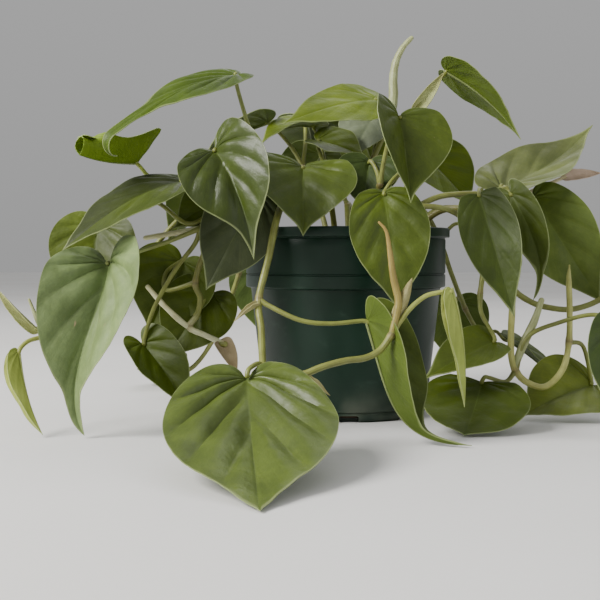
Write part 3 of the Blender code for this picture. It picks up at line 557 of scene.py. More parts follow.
def add_tint(thing, colours):
    """Keep a colour at each point, for a finish to read."""
    made = thing.data.color_attributes.new("tint", "FLOAT_COLOR", "POINT")
    painted = np.ones((len(thing.data.vertices), 4), np.float32)
    painted[:, :3] = np.clip(colours, 0, 1)
    made.data.foreach_set("color", painted.ravel())


def lay_grid(name, columns, rows):
    """A flat grid, and where its points are across it (-1 to 1) and along it (0 to 1)."""
    thing = start_from(bpy.ops.mesh.primitive_grid_add, x_subdivisions=columns, y_subdivisions=rows, size=2)
    thing.name = name
    flat = read_points(thing)
    return thing, flat[:, 0], (flat[:, 1] + 1) / 2


def close_seams(thing):
    """Merge the points that meet."""
    pick(thing)
    bpy.ops.object.mode_set(mode="EDIT")
    bpy.ops.mesh.select_all(action="SELECT")
    bpy.ops.mesh.remove_doubles(threshold=MERGE * MM)
    bpy.ops.object.mode_set(mode="OBJECT")


def shape_with(thing, kind, **settings):
    """Shape a thing with one modifier, and apply it."""
    modifier = thing.modifiers.new("shape", kind)
    for name, value in settings.items():
        setattr(modifier, name, value)
    pick(thing)
    bpy.ops.object.modifier_apply(modifier=modifier.name)


def smooth_faces(thing, sharp_degrees):
    pick(thing)
    bpy.ops.object.shade_smooth_by_angle(angle=radians(sharp_degrees))


def join_pieces(name, things):
    """Make one piece of several."""
    pick(*things)
    if len(things) > 1:
        bpy.ops.object.join()
    things[0].name = name
    things[0].data.name = name
    return things[0]


def place_piece(piece, node):
    """The piece stands for a node and rides with the plant; the node itself is hidden."""
    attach(piece, "root")
    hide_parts(node)


class Finish:
    """A material in the making: one shader and the nodes that feed it."""

    def __init__(self, name, **constants):
        self.made = bpy.data.materials.new(name)
        self.made.use_nodes = True
        self.tree = self.made.node_tree
        self.shader = self.tree.nodes["Principled BSDF"]
        for socket, value in constants.items():
            self.shader.inputs[socket.replace("_", " ")].default_value = value
        self.place = self.add("TexCoord").outputs["Object"]

    def add(self, kind, inputs=None, **settings):
        node = self.tree.nodes.new("ShaderNode" + kind)
        for name, value in settings.items():
            setattr(node, name, value)
        for socket, value in (inputs or {}).items():
            self.feed(node.inputs[socket], value)
        return node

    def feed(self, socket, value):
        if isinstance(value, bpy.types.NodeSocket):
            self.tree.links.new(value, socket)
        else:
            socket.default_value = value

    def maths(self, operation, *values):
        return self.add("Math", dict(enumerate(values)), operation=operation).outputs[0]

    def times(self, value, share):
        return self.maths("MULTIPLY", value, share)

    def plus(self, value, more):
        return self.maths("ADD", value, more)

    def less(self, value, part):
        return self.maths("SUBTRACT", value, part)

    def measure(self, name, output="Fac"):
        return self.add("Attribute", attribute_name=name).outputs[output]

    @property
    def tint(self):
        return self.measure("tint", "Color")

    def noise(self, scale, detail=3, place=None):
        node = self.add("TexNoise", {"Vector": place or self.place, "Scale": scale, "Detail": detail})
        return node.outputs["Fac"]

    def cells(self, scale):
        """Distance to the sides of irregular cells."""
        node = self.add("TexVoronoi", {"Vector": self.place, "Scale": scale}, feature="DISTANCE_TO_EDGE")
        return node.outputs["Distance"]

    def lines(self, run, width):
        """Soft lines at the whole numbers of a running measure."""
        from_middle = self.maths("ABSOLUTE", self.less(self.maths("FRACT", run), 0.5))
        return self.ease(from_middle, 0.5 - width, 0.5)

    def ease(self, value, low, high, first=0, last=1):
        """Goes smoothly from first to last as the value goes from low to high."""
        inputs = {"Value": value, "From Min": low, "From Max": high, "To Min": first, "To Max": last}
        return self.add("MapRange", inputs, interpolation_type="SMOOTHSTEP").outputs[0]

    def blend(self, share, first, last, way="MIX"):
        """From the first colour to the last, which may be given as three numbers."""
        last = last if isinstance(last, bpy.types.NodeSocket) else (*last, 1)
        node = self.add("Mix", {0: share, 6: first, 7: last}, data_type="RGBA", blend_type=way)
        return node.outputs[2]

    def toned(self, share, colour, by):
        """A colour times three numbers, over a share of the surface."""
        return self.blend(share, colour, by, "MULTIPLY")

    def bump(self, height, distance, strength=1.0, under=None):
        inputs = {"Height": height, "Distance": distance * MM, "Strength": strength}
        if under:
            inputs["Normal"] = under
        return self.add("Bump", inputs).outputs[0]

    def finish(self, colour, roughness, normal):
        self.feed(self.shader.inputs["Base Color"], colour)
        self.feed(self.shader.inputs["Roughness"], roughness)
        self.feed(self.shader.inputs["Normal"], normal)
        return self.made


def fine_lines(make, count, width):
    """Wandering lines that run as the side veins do, count of them between two of those."""
    run = make.plus(make.measure("vein"), make.times(make.noise(260, 2), 0.22))
    return make.lines(make.times(run, count), width)


def leaf_upper_finish(name, coat, smoothest, roughest):
    make = Finish(name, Coat_Weight=coat, Coat_Roughness=0.4, Specular_IOR_Level=0.38, IOR=LEAF_IOR)
    broad, fine = make.noise(55, 2), make.noise(420, 4)
    colour = make.toned(make.ease(broad, 0.3, 0.7), make.tint, (0.72, 0.74, 0.66))
    colour = make.toned(make.ease(fine, 0.35, 0.75, 0, 0.4), colour, (1.35, 1.3, 1.2))
    colour = make.toned(make.times(make.lines(make.measure("vein"), 0.05), 0.3), colour, (1.5, 1.42, 1.6))
    colour = make.toned(make.times(fine_lines(make, 5, 0.12), 0.22), colour, (1.35, 1.3, 1.3))
    rib = make.ease(make.measure("off_rib"), 0.25, 0.8, 0.13, 0)
    colour = make.blend(rib, colour, (0.17, 0.235, 0.065))
    edge = make.ease(make.measure("off_edge"), 0.1, 0.45, 0.45, 0)
    colour = make.blend(edge, colour, (0.33, 0.38, 0.17))
    scar = make.ease(make.plus(make.measure("scar"), make.times(fine, 0.5)), 0.62, 0.95)
    colour = make.blend(scar, colour, (0.26, 0.2, 0.11))
    roughness = make.ease(make.plus(broad, make.times(fine, 0.5)), 0.5, 1.0, smoothest, roughest)
    net = make.ease(make.cells(950), 0.0, 0.16)
    height = make.plus(make.times(net, 0.3), make.times(fine, 0.4))
    height = make.less(height, make.times(fine_lines(make, 5, 0.25), 0.5))
    crinkle = make.bump(make.noise(190, 4), 0.75, 0.75)
    return make.finish(colour, roughness, make.bump(height, 0.1, 0.6, crinkle))


def leaf_under_finish():
    make = Finish("leaf_under", Specular_IOR_Level=0.4, IOR=LEAF_IOR)
    broad, fine = make.noise(60, 2), make.noise(450, 4)
    colour = make.blend(0.2, make.tint, (0.17, 0.25, 0.04))
    colour = make.toned(make.ease(broad, 0.3, 0.7), colour, (0.78, 0.82, 0.7))
    colour = make.toned(make.times(make.lines(make.measure("vein"), 0.06), 0.3), colour, (1.35, 1.28, 1.4))
    colour = make.toned(make.times(fine_lines(make, 6, 0.16), 0.4), colour, (0.68, 0.72, 0.6))
    edge = make.ease(make.measure("off_edge"), 0.1, 0.5, 0.4, 0)
    colour = make.blend(edge, colour, PALE_MARGIN)
    height = make.plus(make.times(fine_lines(make, 6, 0.2), 0.6), fine)
    return make.finish(colour, make.ease(fine, 0.3, 0.7, 0.5, 0.62), make.bump(height, 0.18, 0.7))


def leaf_edge_finish():
    make = Finish("leaf_edge")
    fine = make.noise(600, 3)
    colour = make.blend(make.ease(fine, 0.3, 0.7), (*PALE_MARGIN, 1), (0.26, 0.33, 0.11))
    colour = make.blend(0.35, colour, make.tint)
    return make.finish(colour, make.ease(fine, 0.3, 0.7, 0.45, 0.6), make.bump(fine, 0.05))


def cane_finish():
    make = Finish("cane", Coat_Weight=0.1, Coat_Roughness=0.35)
    broad, fine = make.noise(130, 3), make.noise(700, 4)
    round_it = make.add("SeparateXYZ", {0: make.add("UVMap", uv_map="UVMap").outputs[0]}).outputs["X"]
    ridges = make.maths("SINE", make.times(round_it, 2 * pi * CANE_RIDGES))
    colour = make.toned(make.ease(broad, 0.3, 0.72), make.tint, (0.74, 0.72, 0.62))
    colour = make.toned(make.ease(ridges, 0.2, 1.0, 0, 0.2), colour, (1.5, 1.45, 1.3))
    specks = make.ease(make.noise(1500, 2), 0.66, 0.74, 0, 0.55)
    colour = make.blend(specks, colour, (0.33, 0.25, 0.13))
    height = make.plus(make.times(ridges, 0.3), fine)
    return make.finish(colour, make.ease(fine, 0.3, 0.7, 0.38, 0.55), make.bump(height, 0.16, 0.8))


def sheath_finish():
    make = Finish("papery_sheath", Specular_IOR_Level=0.35)
    broad, fine = make.noise(160, 3), make.noise(900, 4)
    lines = make.lines(make.times(make.measure("across"), SHEATH_LINES), 0.2)
    colour = make.toned(make.ease(broad, 0.3, 0.7), make.tint, (0.8, 0.78, 0.7))
    colour = make.toned(make.times(lines, 0.4), colour, (0.62, 0.57, 0.46))
    height = make.less(fine, make.times(lines, 0.6))
    return make.finish(colour, make.ease(fine, 0.3, 0.7, 0.55, 0.75), make.bump(height, 0.2))


def pot_finish():
    make = Finish("moulded_plastic", Specular_IOR_Level=0.3)
    height_up = make.add("SeparateXYZ", {0: make.place}).outputs["Z"]
    broad, fine = make.noise(28, 3), make.noise(900, 3)
    squashed = make.add("Mapping", {"Vector": make.place, "Scale": (1, 1, 2)}).outputs[0]
    colour = make.blend(make.ease(broad, 0.3, 0.75), (0.003, 0.018, 0.009, 1), (0.006, 0.028, 0.015))
    scuffs = make.ease(make.noise(60, 5, squashed), 0.6, 0.8, 0, 0.2)
    colour = make.blend(scuffs, colour, (0.07, 0.12, 0.09))
    dust = make.times(make.ease(height_up, 0.03, 0.0, 0, 0.5), make.ease(broad, 0.35, 0.7))
    colour = make.blend(dust, colour, (0.17, 0.17, 0.13))
    roughness = make.ease(make.plus(broad, make.times(fine, 0.3)), 0.5, 0.95, 0.38, 0.46)
    normal = make.bump(make.noise(240, 2), 0.05, 0.6, make.bump(fine, 0.03, 0.7))
    return make.finish(colour, roughness, normal)


def mix_finish():
    make = Finish("peat_and_bark", Specular_IOR_Level=0.25)
    broad, fine = make.noise(110, 4), make.noise(1100, 5)
    colour = make.toned(make.ease(broad, 0.35, 0.65), make.tint, (0.5, 0.45, 0.4))
    colour = make.toned(make.ease(fine, 0.4, 0.7, 0, 0.5), colour, (1.7, 1.6, 1.5))
    height = make.plus(make.noise(380, 5), make.times(fine, 0.4))
    return make.finish(colour, make.ease(fine, 0.3, 0.7, 0.82, 0.98), make.bump(height, 0.8))


def floor_finish():
    make = Finish("pale_floor", Specular_IOR_Level=0.3)
    broad, fine = make.noise(2.5, 3), make.noise(160, 4)
    colour = make.blend(make.ease(broad, 0.3, 0.7), (0.72, 0.71, 0.69, 1), (0.76, 0.755, 0.74))
    return make.finish(colour, make.ease(fine, 0.3, 0.7, 0.6, 0.72), make.bump(fine, 0.05, 0.4))


def unit(vector):
    return vector / norm(vector)


def unit_rows(vectors):
    return vectors / np.maximum(norm(vectors, axis=1), 1e-9)[:, None]


def leant(vector, toward, degrees):
    return vector * cos(radians(degrees)) + toward * sin(radians(degrees))


def mixed(first, last, share):
    return first * (1 - share) + last * share


def fading(away, spread):
    """1 at a place, falling to 0 around it."""
    return np.exp(-(away / spread) ** 2)


def smooth_through(points, longest, before=None):
    """Catmull-Rom curve through the points, in pieces no longer than longest.

    The point before leads into the first one.
    """
    line = [np.array(p, float) for p in points]
    first = np.array(before, float) if before is not None else 2 * line[0] - line[1]
    line = [first] + line + [2 * line[-1] - line[-2]]
    curve = []
    for a, b, c, d in zip(line, line[1:], line[2:], line[3:]):
        pieces = ceil(norm(c - b) / longest)
        for step in range(pieces):
            t = step / pieces
            curve.append(0.5 * (2 * b + (c - a) * t + (2 * a - 5 * b + 4 * c - d) * t ** 2
                                + (3 * b - a - 3 * c + d) * t ** 3))
    curve.append(line[-2])
    return np.array(curve)


def blade_axes(blade):
    """Base, tip, upper side and the midrib's directions at its two ends."""
    base, tip = np.array(blade.base, float), np.array(blade.tip, float)
    along = unit(tip - base)
    upper = np.array(blade.face, float)
    upper = unit(upper - along * upper.dot(along))
    left = np.cross(along, upper)
    start = unit(leant(leant(along, upper, blade.bend[0]), left, blade.sway[0]))
    end = unit(leant(leant(along, -upper, blade.bend[1]), -left, blade.sway[1]))
    return base, tip, upper, start, end


def midrib(blade, along):
    """The midrib at parts of its length: its place, direction and upper side."""
    base, tip, upper, start, end = blade_axes(blade)
    t = np.clip(along, 0, 1)[:, None]
    reach = blade.length * blade.pull
    rib = ((2 * t ** 3 - 3 * t ** 2 + 1) * base + (t ** 3 - 2 * t ** 2 + t) * reach * start
           + (3 * t ** 2 - 2 * t ** 3) * tip + (t ** 3 - t ** 2) * reach * end)
    run = unit_rows((6 * t * t - 6 * t) * (base - tip) + (3 * t * t - 4 * t + 1) * reach * start
                    + (3 * t * t - 2 * t) * reach * end)
    rib = rib + run * np.minimum(along, 0)[:, None] * blade.length
    return rib, run, unit_rows(upper - run * (run @ upper)[:, None])


def curl_tip(blade, along, rib, run, rise):
    """The midrib with its tip bent under, like a hook."""
    start, degrees = blade.curl
    (pivot,), (ahead,), (up,) = midrib(blade, np.array([start]))
    gone = (along - start) * blade.length
    bent = gone > 0
    per_mm = radians(degrees) / ((1 - start) * blade.length)
    turn = per_mm * gone[bent]
    rib[bent] = pivot + (np.outer(np.sin(turn), ahead) - np.outer(1 - np.cos(turn), up)) / per_mm
    run[bent] = np.outer(np.cos(turn), ahead) - np.outer(np.sin(turn), up)
    rise[bent] = np.outer(np.cos(turn), up) + np.outer(np.sin(turn), ahead)
    return rib, run, rise


def blade_places(blade, across, along):
    """Places of points given in parts of the blade's width and length, and its upper side there."""
    rib, run, rise = midrib(blade, along)
    if blade.curl:
        rib, run, rise = curl_tip(blade, along, rib, run, rise)
    side = np.cross(run, rise)
    half_share = np.abs(across) * 2
    is_left = across > 0
    angle = np.radians(np.where(is_left, *blade.fold)) + radians(blade.cup) * half_share / 2
    ripple_start = np.where(is_left, *RIPPLE_STARTS)
    ripple = blade.wave * np.sin(2 * pi * RIPPLES * along + ripple_start) * half_share ** 2
    out = np.abs(across) * blade.width
    flat, turn, radius = out, np.zeros(len(out)), 1.0
    if blade.roll:
        first, radius = blade.roll
        flat = np.minimum(out, first + blade.width * np.clip(1 - along / ROLLED_FULLY, 0, 1))
        turn = (out - flat) / radius
    sideways = flat * np.cos(angle) + radius * (np.sin(angle + turn) - np.sin(angle))
    lift = (np.sqrt(flat ** 2 + CREASE ** 2) - CREASE) * np.sin(angle)
    lift = lift - radius * (np.cos(angle + turn) - np.cos(angle)) + ripple
    return rib + side * (sideways * np.sign(across))[:, None] + rise * lift[:, None], rise


def vein_grid(blade, across, along):
    """Parts of the width and length for a flat grid whose rows run the way the veins do."""
    edge = smooth_through(blade.outline, OUTLINE_PIECE)
    edge[:, 1] = np.where(edge[:, 1] < 0, edge[:, 1] * blade.lobe, edge[:, 1])
    steps = norm(np.diff(edge, axis=0) * (0.75, 1), axis=1)
    travelled = np.concatenate([[0], np.cumsum(steps)]) / steps.sum()
    stops = SINUS + (1 - SINUS) * along
    x, y = np.interp(stops, travelled, edge[:, 0]), np.interp(stops, travelled, edge[:, 1])
    past_fan = np.maximum(y - FAN_END, 0) / (1 - FAN_END)
    start = np.maximum(y, 0) if blade.outline is LANCE else past_fan ** blade.fan
    middle_x, middle_y = 0.55 * x, start + 0.36 * (y - start)
    q = np.abs(across)
    part_across = 2 * q * (1 - q) * middle_x + q * q * x
    part_along = (1 - q) ** 2 * start + 2 * q * (1 - q) * middle_y + q * q * y
    return np.sign(across) * part_across, part_along, x


def slow_waves(luck, places, longest):
    """An uneven gentle swell over a surface, about 1 high."""
    swell = np.zeros(len(places))
    for share in (1.0, 0.62, 0.4):
        way = unit(np.array([luck.uniform(-1, 1) for _ in range(3)]))
        swell += share * np.sin(places @ way * 2 * pi / (longest * share) + luck.uniform(0, 2 * pi))
    return swell / 1.6


def trough_depth(blade, along):
    """Depth of the valley along the midrib, shallower toward the tip."""
    return TROUGH_DEPTH * blade.length * QUILTED.get(blade.name, 1.0) * np.clip(1.1 - along, 0, 1)


def scar_of(blade, across, along):
    """1 on a blade's damaged spots, fading to 0 around them."""
    scar = np.zeros(len(across))
    for spot_across, spot_along, size in SCARS.get(blade.name, ()):
        away = np.hypot((across - spot_across) * blade.width, (along - spot_along) * blade.width)
        scar = np.maximum(scar, fading(away, size))
    return scar


def leaf_tint(blade, luck, places, is_left):
    """The leaf's green, uneven over the blade and from one half to the other, with painted light and shade
    on the halves of some leaves.
    """
    shade = 1 + UNEVEN_GREEN * slow_waves(luck, places, GREEN_REACH)
    half_tone_and_painted_light = np.where(is_left, luck.uniform(0.92, 1.08), luck.uniform(0.92, 1.08))
    # painted light and shade: on some leaves one half is made lighter or darker, standing in for how the
    # light falls on it
    half_tone_and_painted_light *= np.where(is_left, *HALF_PAINTED_LIGHT.get(blade.name, (1, 1)))
    return LOOKS[blade.look] * luck.uniform(0.9, 1.1) * (shade * half_tone_and_painted_light)[:, None]


def leaf_relief(blade, luck, places, across, part_along, out, width_here, vein):
    """How far the upper side stands out: quilted between its veins, uneven, and sunk along its midrib."""
    between = np.abs(np.sin(pi * vein)) ** 0.9 - 0.5
    spread = (4 * np.abs(across) * (1 - np.abs(across))) ** 0.8
    spread *= np.clip(width_here / (0.3 * blade.width), 0, 1)
    relief = QUILT * blade.length * QUILTED.get(blade.name, 1.0) * between * spread
    for height, reach in SWELLS:
        waves = slow_waves(luck, places, reach * blade.length)
        relief += height * blade.length * waves * np.clip(out / SWELLS_START, 0, 1)
    trough = fading(out, TROUGH_WIDTH * blade.length) * trough_depth(blade, part_along)
    return relief - MIDRIB_DEPTH * fading(out, MIDRIB_WIDTH) - trough


def add_leaf(blade, finishes):
    """A thin blade with a sunk midrib and swellings between its side veins."""
    luck = Random(blade.name)
    rows = int(min(max(MARGIN_LENGTH * blade.length / BLADE_PIECE, FEWEST_ROWS), FINEST_ROWS))
    half = FINEST_HALF
    if not blade.roll:
        half = int(min(max(blade.width / 2 / BLADE_PIECE, FEWEST_HALF), FINEST_HALF))
    thing, across, along = lay_grid("leaf_" + blade.name, 2 * half, rows)
    part_across, part_along, edge = vein_grid(blade, across, along)
    places, _ = blade_places(blade, part_across, part_along)
    vein = along * VEIN_PAIRS + np.where(across > 0, 0, luck.uniform(0.3, 0.6))
    out = np.abs(part_across) * blade.width
    width_here = np.abs(edge) * blade.width
    write_points(thing, places * MM)
    add_tint(thing, leaf_tint(blade, luck, places, across > 0))
    measures = {
        "vein": vein,
        "off_rib": out / (0.2 + 0.95 * (1 - np.clip(part_along, 0, 1)) ** 2),
        "off_edge": (1 - np.abs(across)) * np.maximum(width_here, 0.5),
        "scar": scar_of(blade, part_across, part_along),
        "relief": leaf_relief(blade, luck, places, across, part_along, out, width_here, vein)}
    for name, values in measures.items():
        add_measure(thing, name, values)
    close_seams(thing)
    relief = read_measure(thing, "relief")
    write_points(thing, read_points(thing) + point_normals(thing) * relief[:, None] * MM)
    thing.data.attributes.remove(thing.data.attributes["relief"])
    for finish in finishes:
        thing.data.materials.append(finish)
    shape_with(thing, "SOLIDIFY", thickness=BLADE_THICKNESS * MM, offset=0, material_offset=1,
               material_offset_rim=2)
    return thing


def add_sheath(blade, finish):
    """A papery sheath, folded along its middle, with a wrinkled edge and a drier tip."""
    luck = Random(blade.name)
    thing, across, along = lay_grid("sheath_" + blade.name, 2 * SHEATH_HALF, SHEATH_ROWS)
    part_across, part_along, _ = vein_grid(blade, across, along)
    places, rise = blade_places(blade, part_across, part_along)
    crumple = CRUMPLE * slow_waves(luck, places, CRUMPLE_REACH) * np.abs(across)
    crumple *= np.clip(2 - 2 * along, 0, 1)
    write_points(thing, (places + rise * crumple[:, None]) * MM)
    dry = np.clip((part_along - DRY_START) / (1 - DRY_START), 0, 1)[:, None]
    colour = LOOKS[blade.look]
    add_tint(thing, mixed(colour, colour * DRY_TONE, dry))
    add_measure(thing, "across", across)
    close_seams(thing)
    thing.data.materials.append(finish)
    shape_with(thing, "SOLIDIFY", thickness=SHEATH_THICKNESS * MM, offset=0)
    return thing


def travelling_axes(points):
    """Directions along, to the left of and above a path, without twist."""
    run = unit_rows(np.gradient(points, axis=0))
    helper = np.array([0.0, 0, 1]) if abs(run[0][2]) < 0.9 else np.array([1.0, 0, 0])
    left = unit(np.cross(helper, run[0]))
    lefts, ups = [], []
    for way in run:
        left = unit(left - way * left.dot(way))
        lefts.append(left)
        ups.append(np.cross(way, left))
    return run, np.array(lefts), np.array(ups)


def add_cane(name, points, radii, colours, finish, sides=CANE_SIDES):
    """A closed tube along the points, rounded off at both ends."""
    points, radii, colours = np.array(points), np.array(radii, float), np.array(colours, float)
    first, last = unit(points[0] - points[1]), unit(points[-1] - points[-2])
    reach, width = np.array(CAP_REACH), np.array(CAP_WIDTH)
    start = points[0] + first * (radii[0] * reach)[:, None]
    end = points[-1] + last * (radii[-1] * reach)[::-1, None]
    points = np.vstack([start, points, end])
    radii = np.concatenate([radii[0] * width, radii, radii[-1] * width[::-1]])
    colours = np.vstack([colours[:1]] * len(reach) + [colours] + [colours[-1:]] * len(reach))
    rows = len(points) - 1
    thing, across, along = lay_grid(name, sides, rows)
    ring = np.rint(along * rows).astype(int)
    turn = (across + 1) * pi
    _, left, up = travelling_axes(points)
    outward = left[ring] * np.cos(turn)[:, None] + up[ring] * np.sin(turn)[:, None]
    write_points(thing, (points[ring] + outward * radii[ring][:, None]) * MM)
    add_tint(thing, colours[ring])
    close_seams(thing)
    thing.data.materials.append(finish)
    return thing


def far_along(points):
    """Distance travelled at each point of a path."""
    return np.concatenate([[0], np.cumsum(norm(np.diff(points, axis=0), axis=1))])


def add_stem(name, vine, finish):
    """The main stem, with a swollen ringed joint wherever something grows from it."""
    luck = Random(name)
    x, y, low = vine.route[0]
    bend = smooth_through(vine.route[1:], STEM_PIECE, before=vine.route[0])
    start = np.array([(x, y, z) for z in np.arange(low, PLANTED_STRAIGHT, STEM_PIECE)])
    points = np.vstack([start, bend])
    joints = [vine.route[growing.node] for growing in [*vine.blades, *vine.shoots]]
    from_joint = np.min([norm(points - np.array(joint, float), axis=1) for joint in joints], axis=0)
    joint, ring = fading(from_joint, JOINT_REACH), fading(from_joint, RING_REACH)
    radii = np.linspace(vine.radius, vine.radius * STEM_TAPER, len(points))
    radii = radii * (1 + JOINT_SWELLING * joint - RING_GROOVE * ring)
    radii = radii * (1 + STEM_UNEVEN * slow_waves(luck, points, 14))
    gone = far_along(points)
    age = np.clip(1 - gone / BROWN_REACH, 0, 1)[:, None]
    colours = mixed(LOOKS["stem"], LOOKS["joint"], 0.5 * age)
    turned = gone[np.argmin(norm(points - np.array(vine.route[vine.end_node], float), axis=1))]
    past = np.clip((gone - turned) / END_BLEND, 0, 1)[:, None]
    colours = mixed(colours, LOOKS[vine.end_look], past)
    colours = mixed(colours, LOOKS["joint"], 0.6 * joint[:, None])
    if vine.route[-1] not in joints:
        radii = radii * np.clip((gone[-1] - gone) / GROWING_TIP, 0.15, 1) ** 0.6
    return add_cane(name + "_main", points, radii, colours * (1 - RING_DARKER * ring[:, None]), finish)


def stalk_path(vine, blade):
    """From the stem's joint to just inside the blade's base, on the side that the stalk comes from."""
    base, _, upper, start, _ = blade_axes(blade)
    points = [vine.route[blade.node], *blade.via]
    if blade.outline is LANCE:
        return smooth_through(points + [base + start * SHEATH_INSET], CANE_PIECE)
    arriving = unit(base - np.array(points[-1], float))
    side = -upper if arriving.dot(upper) > 0 else upper
    ahead = unit(arriving - upper * arriving.dot(upper))
    near = base - ahead * STALK_DROP + side * (STALK_DROP + CAD_BLADE)
    return smooth_through(points + [near, base + start * STALK_INSET + side * CAD_BLADE / 2], CANE_PIECE)


def add_stalk(vine, blade, finish):
    """A leaf's stalk, wider where it clasps the stem and a little swollen below the blade."""
    points = stalk_path(vine, blade)
    gone = far_along(points)
    radii = np.linspace(STALK_RADIUS, STALK_TIP_RADIUS, len(points))
    radii = radii * (1 + 0.3 * fading(gone, 4) + 0.12 * fading(gone[-1] - gone, 3))
    leafy = 0.6 * LOOKS["stalk"] + 0.6 * LOOKS[blade.look]
    colours = mixed(LOOKS["stem"], leafy, np.clip(gone / STALK_GREENING, 0, 1)[:, None])
    return add_cane("stalk_" + blade.name, points, radii, colours, finish, sides=STALK_SIDES)


def add_rib(blade, finish):
    """The midrib that stands out below the blade."""
    along = np.linspace(0.0, RIB_END, RIB_POINTS)
    places, rise = blade_places(blade, np.zeros(RIB_POINTS), along)
    size = RIB_RADIUS * min(1.25, (blade.length / RIB_LEAF) ** 0.5)
    radii = size * (1 - RIB_TAPER * along)
    places = places - rise * (MIDRIB_DEPTH + trough_depth(blade, along) + 0.95 * radii)[:, None]
    colour = mixed(LOOKS[blade.look], LOOKS["rib"], 0.55)
    return add_cane("rib_" + blade.name, places, radii, [colour] * RIB_POINTS, finish, sides=RIB_SIDES)


def add_shoot(vine, shoot, finish):
    """A root, or a new leaf still rolled up, tapering to its tip."""
    luck = Random(shoot.name)
    points = smooth_through([vine.route[shoot.node]] + shoot.points, CANE_PIECE)
    share = np.linspace(0, 1, len(points))[:, None]
    bulge = BULGES.get(shoot.look, 0) * np.sin(pi * share[:, 0])
    radii = np.linspace(shoot.radius, shoot.end, len(points))
    radii = radii * (1 + 0.06 * slow_waves(luck, points, 9) + bulge)
    colour = LOOKS[shoot.look]
    tipped = colour * ((1.1, 0.85, 0.75) if shoot.look == "spike" else (1.1, 1.05, 0.95))
    return add_cane("shoot_" + shoot.name, points, radii, mixed(colour, tipped, share), finish)


def dress_vine(name, vine, leaf_finishes, glossy, cane, papery):
    """A leafy stem: one piece of all its leaves, and one of its stem, stalks, ribs, sheaths and shoots."""
    leaves = []
    for blade in vine.blades:
        if blade.outline is not LANCE:
            upper = glossy if blade.name in GLOSSY else leaf_finishes[0]
            leaves.append(add_leaf(blade, [upper, *leaf_finishes[1:]]))
    canes = [add_stem(name, vine, cane)]
    for blade in vine.blades:
        canes.append(add_stalk(vine, blade, cane))
        if blade.outline is LANCE:
            canes.append(add_sheath(blade, papery))
        else:
            canes.append(add_rib(blade, cane))
    canes += [add_shoot(vine, shoot, cane) for shoot in vine.shoots]
    for piece in (join_pieces(name + "_leaves", leaves), join_pieces(name + "_canes", canes)):
        smooth_faces(piece, 50)
        place_piece(piece, name)


def pot_inner_radius(height):
    """Radius of the pot's inside at a height, on its straight wall."""
    rise = (height - FOOT_HEIGHT) / (FLANGE_LOW - FOOT_HEIGHT)
    return BASE_RADIUS - WALL + rise * (SHOULDER_RADIUS - BASE_RADIUS)


def arc(centre, radius, first_degrees, last_degrees, pieces=4):
    """Points of (radius, height) round a centre, from one angle to another."""
    angles = np.radians(np.linspace(first_degrees, last_degrees, pieces + 1))
    return [(centre[0] + radius * cos(a), centre[1] + radius * sin(a)) for a in angles]


def pot_outside():
    """Radius and height up the pot's outer side, from the edge of its bottom to the top of its lip."""
    under_band = BAND_RADIUS - GROOVE
    top = POT_HEIGHT - LIP_ROUND
    wall_slope = (SHOULDER_RADIUS - BASE_RADIUS) / (FLANGE_LOW - FOOT_HEIGHT)
    line = [(BASE_RADIUS - BASE_EDGE, 0)]
    line += arc((BASE_RADIUS - BASE_EDGE, BASE_EDGE), BASE_EDGE - GROOVE, -70, 0)
    line += [(BASE_RADIUS - GROOVE, FOOT_HEIGHT - 2 * GROOVE),
             (BASE_RADIUS - 1.5 * GROOVE, FOOT_HEIGHT - GROOVE),
             (BASE_RADIUS - GROOVE, FOOT_HEIGHT - 0.5 * GROOVE), (BASE_RADIUS, FOOT_HEIGHT)]
    line += [(BASE_RADIUS + wall_slope * (height - FOOT_HEIGHT), height)
             for height in np.linspace(FOOT_HEIGHT, FLANGE_LOW - 2 * GROOVE, 9)[1:]]
    line += [(SHOULDER_RADIUS, FLANGE_LOW - GROOVE), (SHOULDER_RADIUS + GROOVE, FLANGE_LOW - 0.6 * GROOVE),
             (under_band, FLANGE_LOW)]
    line += arc((under_band, FLANGE_LOW + GROOVE), GROOVE, -60, 0)
    line += [(BAND_RADIUS, FLANGE_HIGH - GROOVE), (BAND_RADIUS - 0.9 * GROOVE, FLANGE_HIGH - 0.4 * GROOVE),
             (BAND_RADIUS - 0.9 * GROOVE, FLANGE_HIGH + 0.4 * GROOVE), (BAND_RADIUS, FLANGE_HIGH + GROOVE)]
    line += [(BAND_RADIUS, height)
             for height in np.linspace(FLANGE_HIGH + 2 * GROOVE, BAND_TOP - 2 * GROOVE, 5)]
    line += [(BAND_RADIUS - 0.5 * GROOVE, BAND_TOP - GROOVE), (BAND_RADIUS, BAND_TOP - 0.3 * GROOVE),
             (RIM_RADIUS - GROOVE, BAND_TOP)]
    line += arc((RIM_RADIUS - GROOVE, BAND_TOP + GROOVE), GROOVE, -60, 0)
    line += arc((RIM_RADIUS - LIP_ROUND, top), LIP_ROUND, 0, 90)
    return line


def pot_inside():
    """Radius and height down the pot's inner side, from its lip to the edge of its floor."""
    line = arc((RIM_RADIUS - WALL + LIP_ROUND / 2, POT_HEIGHT - LIP_ROUND / 2), LIP_ROUND / 2, 90, 180)
    line += [(BAND_RADIUS - WALL, BAND_TOP), (BAND_RADIUS - WALL, FLANGE_HIGH),
             (pot_inner_radius(FLANGE_LOW), FLANGE_LOW), (pot_inner_radius(FOOT_HEIGHT), FOOT_HEIGHT),
             (BASE_RADIUS - WALL - BASE_EDGE, FLOOR)]
    return line


def raise_wall(line):
    """Draw the selected face up along a line of (radius, height), ring by ring."""
    for (radius, height), (next_radius, next_height) in zip(line, line[1:]):
        rise = (0, 0, (next_height - height) * MM)
        bpy.ops.mesh.extrude_region_move(TRANSFORM_OT_translate={"value": rise})
        share = next_radius / radius
        bpy.ops.transform.resize(value=(share, share, 1), center_override=(0, 0, next_height * MM))


